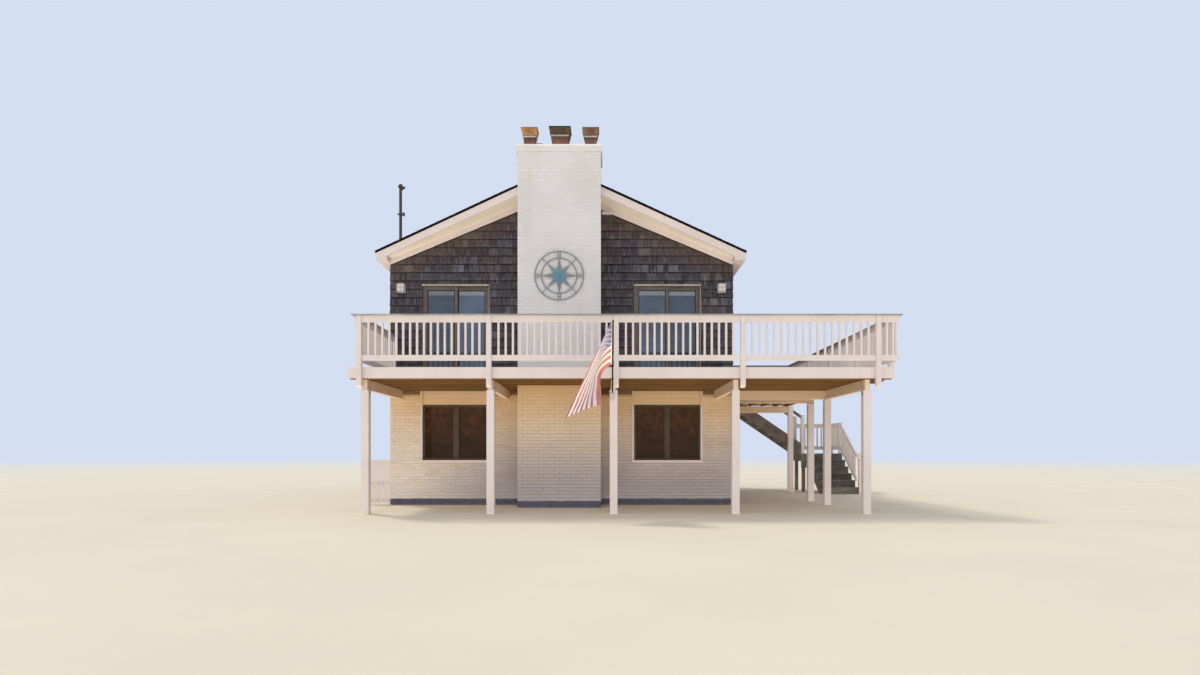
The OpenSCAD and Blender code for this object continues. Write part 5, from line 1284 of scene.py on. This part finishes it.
class HOUSE_OT_deck(bpy.types.Operator):
    """Lays the deck's planks on its joists and finishes the frame that carries them"""
    bl_idname = "house.deck"
    bl_label = "Deck"

    def execute(self, context):
        sizes = context.scene.house_sizes
        self.lay_planks(sizes, random.Random(sizes.seed + 4))
        dress("lumber", "deck_joists")
        dress("trim_across", "deck_fascia", bevel=0.004)
        dress("trim_upright", "front_posts", "side_posts", bevel=0.007)
        dress("beam_timber", "deck_beams", bevel=0.004)
        dress("cross_timber", "cross_beams", bevel=0.004)
        self.fit_hardware()
        return {"FINISHED"}

    def lay_planks(self, sizes, rng):
        """Lays planks across the joists of the front deck, the side deck and the walk to the stair."""
        planks, side_planks, nails = Shape(), Shape(), Shape()
        low_z, high_z = BOARDS_LOW.z + 0.0004, BOARDS_HIGH.z - 0.0008
        breast = [(-CHIMNEY_HALF - 0.005, CHIMNEY_FRONT - 0.005, CHIMNEY_HALF + 0.005, FRONT_Y + 1)]
        walk_y, pitch = DECK_BACK - FASCIA_T, 0.4
        runs = [(left, BOARDS_LOW.y, right, FRONT_Y - 0.003)
                for left, right in planks_over(BOARDS_LOW.x, BOARDS_HIGH.x, sizes)]
        runs += [(left, walk_y + 0.003, right, BOARDS_HIGH.y - 0.002)
                 for left, right in planks_over(HALF_W + 0.02, WALK_X - FASCIA_T, sizes)]

        def drive_nail(x, y, stray):
            nail_head(nails, x + rng.uniform(-0.002, 0.002), y + rng.uniform(-stray, stray), high_z)
        for left, near, right, far in runs:
            lift = rng.uniform(-0.0008, 0.0008)
            for part in cut([(left, near + rng.uniform(0.0, 0.003), right, far)], breast):
                if not sliver(part, 0.01, 0.02):
                    planks.box((*part[:2], low_z), (*part[2:], high_z + lift))
            y = near + 0.03
            while y < far:
                if cut([(left, y, right, y + 0.01)], breast):
                    for x in (left + 0.022, right - 0.022):
                        drive_nail(x, y, 0.004)
                y += pitch
        for near, far in planks_over(FRONT_Y + 0.002, walk_y, sizes):
            joint = rng.choice((4.45, 4.85, 5.25))
            for left, right in ((HALF_W + 0.02, joint - 0.001), (joint + 0.001, BOARDS_HIGH.x)):
                side_planks.box((left, near, low_z), (right, far, high_z + rng.uniform(-0.0008, 0.0008)))
                x = left + 0.025
                while x < right:
                    for y in (near + 0.022, far - 0.022):
                        drive_nail(x, y, 0.002)
                    x += pitch
        show("deck_planks", planks, "planks", stands_for=("deck_boards",), bevel=0.003)
        show("side_planks", side_planks, "side_planks", bevel=0.003)
        show("deck_nails", nails, "zinc")

    def fit_hardware(self):
        """Fits bolts through the beams and the posts, and plates on the posts' sides."""
        bolts, plates = Shape(), Shape()
        low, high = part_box("deck_beams")
        for x in POST_X:
            for heights, face, y, size in (((low.z + 0.05, high.z - 0.045), 0.0452, BEAM_Y + 0.1, 0.011),
                                           ((low.z - 0.08, low.z - 0.03), 0.073, BEAM_Y, 0.008)):
                for side in SIDES:
                    for z in heights:
                        bolt(bolts, lambda a, b, out: (x + side * (face + out), y + side * a, z + b), size)
            plate = rect(BEAM_Y - 0.03, low.z - 0.1, BEAM_Y + 0.03, low.z - 0.006)
            for side in SIDES:
                plates.block(lambda a, u, out: (x + side * out, a, u), plate[::side], 0.07, 0.073)
        show("frame_bolts", bolts, "zinc")
        show("post_plates", plates, "zinc", bevel=0.001)


class HOUSE_OT_railings(bpy.types.Operator):
    """Finishes the railings of the deck and the screen beside it"""
    bl_idname = "house.railings"
    bl_label = "Railings"

    def execute(self, context):
        dress("rail", "front_railing", "left_railing", "right_railing", "rear_railing", bevel=0.003)
        dress("rail", "rail_posts", bevel=0.004)
        dress("trim_upright", "picket_screen", bevel=0.003)
        bolts = Shape()
        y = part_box("deck_fascia")[0].y - 0.09
        for x in RAIL_POST_X:
            for z in (FLOOR_Z - 0.17, FLOOR_Z - 0.07):
                bolt(bolts, lambda a, b, out: (x + a, y - out, z + b), 0.011)
        show("rail_bolts", bolts, "trim_upright")
        return {"FINISHED"}


class HOUSE_OT_stair(bpy.types.Operator):
    """Finishes the stair and fits the screws of its steps"""
    bl_idname = "house.stair"
    bl_label = "Stair"

    def execute(self, context):
        dress("stair", "stair_stringers", "upper_steps", "lower_steps", "stair_landing", "upper_handrails",
              bevel=0.003)
        dress("rail", "stair_railing", bevel=0.003)
        screws = Shape()
        rise, run = (FLOOR_Z - LANDING_Z) / 8, 0.285
        for k in range(7):
            x, z = WALK_X + (k + 0.5) * run, FLOOR_Z - (k + 1) * rise + 0.0002
            for y in (DECK_BACK + 0.06, (DECK_BACK + FLIGHT_BACK) / 2, FLIGHT_BACK - 0.06):
                for forward in (-0.09, 0.06):
                    nail_head(screws, x + forward, y, z, 0.0045)
        show("stair_screws", screws, "zinc")
        return {"FINISHED"}


# Compass rose, mast and flag

class HOUSE_OT_rose(bpy.types.Operator):
    """Raises the ridged rays of the compass rose and finishes its rings"""
    bl_idname = "house.rose"
    bl_label = "Compass rose"

    def execute(self, context):
        dress("rose", "compass_rose", bevel=0.0015)
        rays, bosses = Shape(), Shape()
        face_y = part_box("compass_rose")[0].y

        def around(angle, a, u, out):
            """A place turned about the rose's centre."""
            return (ROSE_CENTRE.x + a * math.cos(angle) - u * math.sin(angle), face_y - out,
                    ROSE_CENTRE.z + a * math.sin(angle) + u * math.cos(angle))
        for start, reach, waist, lift in ((0, 0.36, 0.062, 0.02), (45, 0.355, 0.052, 0.013)):
            for k in range(4):
                angle = math.radians(start + 90 * k)
                for side in SIDES:
                    corners = ((0.0, 0.0, lift), (side * waist, waist, 0.0015), (0.0, reach, 0.0015))[::side]
                    rays.slab([around(angle, a, u, 0.0) for a, u, out in corners],
                              [around(angle, *corner) for corner in corners], closed=True)
        show("rose_rays", rays, "rose")
        bosses.turned(lambda a, u, out: around(0.0, a, u, out),
                      ((0.032, 0.0), (0.032, 0.017), (0.025, 0.023), (0.012, 0.026)))
        for k in range(4):
            x, y, z = around(math.radians(45 + 90 * k), 0.489, 0.0, 0.0)
            bosses.turned(lambda a, u, out: (x + a, y - out, z + u),
                          ((0.013, 0.0), (0.013, 0.004), (0.008, 0.008)), 12)
        show("rose_bosses", bosses, "rose")
        return {"FINISHED"}


class HOUSE_OT_mast(bpy.types.Operator):
    """Finishes the service mast and its boot where it passes the eave"""
    bl_idname = "house.mast"
    bl_label = "Service mast"

    def execute(self, context):
        dress("mast", "service_mast")
        boot = Shape()
        cone = ((0.085, 0.004), (0.07, 0.012), (0.045, 0.06), (MAST_R + 0.003, 0.085),
                (MAST_R + 0.001, 0.09))
        inner, outer = MAST_R + 0.004, MAST_R + 0.006
        ring = ((inner, 0.0), (outer, 0.01), (outer, 0.06), (inner, 0.07))
        for z, profile in ((under_roof(MAST_X) + ROOF_TOP, cone), (MAST_RING_Z, ring)):
            boot.turned(upright(MAST_X, MAST_Y, z), profile)
        show("mast_boot", boot, "mast")
        return {"FINISHED"}


def flag_place(u, v, pleat_depth):
    """A place on the flag: u from its upper to its lower edge, v from the pole to its free end."""
    along = POLE_L - 0.02 - u * FLAG_H
    belly = math.sin(math.pi * v)
    # The lower edge hangs steeper than the upper one, and leaves the pole in a curve
    spread = 0.7 * u + 0.09 * u ** 12
    sideways = v + u * u * (1 - v - (1 - v) ** 7)
    drop = v - 0.07 * u * u * belly
    # The pleats open from the pole outwards and die out along the lower edge
    pleat = pleat_depth * v ** 0.7 * (1 - 0.25 * v) * min(1.0, (1 - u) / 0.08)
    turn = math.tau * PLEATS * u - math.pi / 2 + 0.2 * math.sin(5.0 * v)
    ripple = 0.006 * math.sin(math.tau * (2.3 * v + 1.1 * u)) * v
    left = POLE_D / 2 + 0.001 + sideways * FLAG_L * (0.435 - 0.42 * spread) + 0.02 * u * belly
    back = 0.46 * u ** 1.4 * belly - along * math.cos(POLE_SLOPE) - v * FLAG_L * (0.44 * u - 0.28 * u * u)
    return (POLE_FOOT.x - left - 0.17 * pleat * math.sin(turn) + ripple,
            POLE_FOOT.y + back + pleat * (math.cos(turn) - 1) + ripple,
            POLE_FOOT.z + along * math.sin(POLE_SLOPE) - drop * FLAG_L * (0.9 - 0.5 * u))


class HOUSE_OT_flag(bpy.types.Operator):
    """Hangs the pleated flag from its pole"""
    bl_idname = "house.flag"
    bl_label = "Flag"

    def execute(self, context):
        depth = context.scene.house_sizes.pleat_depth
        rows, columns = 156, 90
        shape = Shape()
        points = [flag_place(i / rows, j / columns, depth)
                  for i in range(rows + 1) for j in range(columns + 1)]
        faces = [(k, k + 1, k + columns + 2, k + columns + 1)
                 for i in range(rows) for k in range(i * (columns + 1), i * (columns + 1) + columns)]
        shape.add(points, faces)
        cloth = show("flag_cloth", shape, "flag", stands_for=("flag",), smooth=True)
        layer = cloth.data.uv_layers.new(name="cloth")
        for loop in cloth.data.loops:
            i, j = divmod(loop.vertex_index, columns + 1)
            layer.data[loop.index].uv = (j / columns, i / rows)
        dress("pole", "flagpole")
        return {"FINISHED"}


# Stage

class HOUSE_OT_stage(bpy.types.Operator):
    """Lays the stage's floor and sets its light and camera"""
    bl_idname = "house.stage"
    bl_label = "Stage"

    def execute(self, context):
        colours = context.scene.house_colours
        floor = self.lay_floor(tuple(colours.floor), tuple(colours.backdrop))
        self.light(context, tuple(colours.backdrop), floor)
        self.set_camera(context)
        context.scene.view_settings.view_transform = "Standard"
        return {"FINISHED"}

    def lay_floor(self, colour, backdrop):
        """Lays a pale floor that fades into the backdrop far from the house."""
        shape = Shape()
        steps, radii = 64, (8.0, 20.0, 60.0, 160.0, 400.0)
        faces = [(0, 1 + k, 1 + (k + 1) % steps) for k in range(steps)]
        for ring in range(1, len(radii)):
            faces += band(1 + ring * steps, 1 + (ring - 1) * steps, steps)
        points = [(0.0, 0.0, 0.0)] + [(x, y, 0.0) for radius in radii for x, y in circle(steps, radius)]
        shape.add(points, faces)
        f = Finish("stage floor", colour, Roughness=0.95)
        f.fade(shade(colour, 0.95), f.noise(0.4, 4), 0.35, 0.7)
        away = f.add("ShaderNodeVectorMath", {0: f.here}, operation="LENGTH")["Value"]
        seen = f.times(f.level(away, 24.0, 110.0), f.add("ShaderNodeLightPath")["Is Camera Ray"])
        glow = f.add("ShaderNodeEmission", {"Color": (*backdrop, 1.0), "Strength": 1.0})[0]
        mixed = f.add("ShaderNodeMixShader", {0: seen, 1: f.shader.outputs[0], 2: glow})[0]
        f.tree.links.new(mixed, f.tree.nodes["Material Output"].inputs["Surface"])
        floor = make("stage_floor", shape, f.done())
        return floor

    def light(self, context, backdrop, floor):
        """Sets an even sky, a high sun from behind, a weak front fill and warm light from the sand."""
        world = bpy.data.worlds.new("stage sky")
        context.scene.world = world
        world.use_nodes = True
        tree = world.node_tree
        tree.nodes.clear()
        path = add_node(tree, "ShaderNodeLightPath")
        seen = add_node(tree, "ShaderNodeMath", {0: path["Is Camera Ray"], 1: path["Is Glossy Ray"]},
                        operation="MAXIMUM")[0]
        sky = add_node(tree, "ShaderNodeBackground", {"Color": (0.88, 0.95, 1.06, 1.0), "Strength": 0.72})[0]
        shown = add_node(tree, "ShaderNodeBackground", {"Color": (*backdrop, 1.0), "Strength": 1.0})[0]
        mixed = add_node(tree, "ShaderNodeMixShader", {0: seen, 1: sky, 2: shown})[0]
        add_node(tree, "ShaderNodeOutputWorld", {"Surface": mixed})
        self.hang_sun("high sun", (0.45, -0.42, -0.95), (1.0, 0.95, 0.88), strength=1.25, spread=8)
        fill = self.hang_sun("wide front fill", (0.25, 0.9, -0.22), (1.0, 0.97, 0.94), strength=0.3,
                             spread=60)
        bounce = self.hang_sun("light from the sand", (0.1, 0.42, 0.9), (1.0, 0.85, 0.72), strength=2.2,
                               spread=80)
        fill.visible_glossy = bounce.visible_glossy = False
        passed = bpy.data.collections.new("passed by the light from the sand")
        for obj in (floor, bpy.data.objects["deck_planks"], bpy.data.objects["deck_nails"],
                    NODES["deck_joists"], NODES["deck_beams"], NODES["deck_fascia"], NODES["front_railing"]):
            passed.objects.link(obj)
        bounce.light_linking.blocker_collection = passed
        for entry in passed.collection_objects:
            entry.light_linking.link_state = "EXCLUDE"

    def hang_sun(self, name, aim, colour, strength, spread):
        """Hangs one distant lamp that shines along an aim."""
        sun = bpy.data.lights.new(name, "SUN")
        sun.energy = strength
        sun.color = colour
        sun.angle = math.radians(spread)
        lamp = bpy.data.objects.new(name, sun)
        lamp.rotation_euler = Vector(aim).to_track_quat("-Z", "Y").to_euler()
        lamp.location = -20 * Vector(aim)
        bpy.context.scene.collection.objects.link(lamp)
        return lamp

    def set_camera(self, context):
        """Sets the camera level in front of the deck, as low as a seated person's eyes."""
        data = bpy.data.cameras.new("front camera")
        data.sensor_width = 36
        data.lens = 22.56
        data.shift_x = -0.0038
        data.shift_y = 0.0963
        data.clip_end = 2000
        camera = bpy.data.objects.new("front camera", data)
        camera.location = (0.915, -20.57, 1.10)
        camera.rotation_euler = (math.radians(90), 0, 0)
        context.scene.collection.objects.link(camera)
        context.scene.camera = camera


class HOUSE_PT_pieces(bpy.types.Panel):
    """Sizes, colours and pieces of the house"""
    bl_idname = "HOUSE_PT_pieces"
    bl_label = "Beach House"
    bl_space_type = "VIEW_3D"
    bl_region_type = "UI"
    bl_category = "Beach House"

    def draw(self, context):
        layout = self.layout
        for title, group in (("Sizes", context.scene.house_sizes), ("Colours", context.scene.house_colours)):
            box = layout.box()
            box.label(text=title)
            for name in type(group).__annotations__:
                box.prop(group, name)
        column = layout.column(align=True)
        for operator in OPERATORS:
            column.operator(operator.bl_idname)


OPERATORS = (HOUSE_OT_brickwork, HOUSE_OT_chimney, HOUSE_OT_shingles, HOUSE_OT_roof, HOUSE_OT_windows,
             HOUSE_OT_fittings, HOUSE_OT_deck, HOUSE_OT_railings, HOUSE_OT_stair, HOUSE_OT_rose,
             HOUSE_OT_mast, HOUSE_OT_flag, HOUSE_OT_stage)
CLASSES = (HouseSizes, HouseColours) + OPERATORS + (HOUSE_PT_pieces,)


def register():
    for cls in CLASSES:
        bpy.utils.register_class(cls)
    bpy.types.Scene.house_sizes = PointerProperty(type=HouseSizes)
    bpy.types.Scene.house_colours = PointerProperty(type=HouseColours)


def unregister():
    del bpy.types.Scene.house_colours
    del bpy.types.Scene.house_sizes
    for cls in reversed(CLASSES):
        bpy.utils.unregister_class(cls)


def main():
    register()
    mix_finishes(bpy.context.scene.house_colours, bpy.context.scene.house_sizes)
    for operator in OPERATORS:
        group, name = operator.bl_idname.split(".")
        getattr(getattr(bpy.ops, group), name)()


if __name__ == "__main__":
    main()
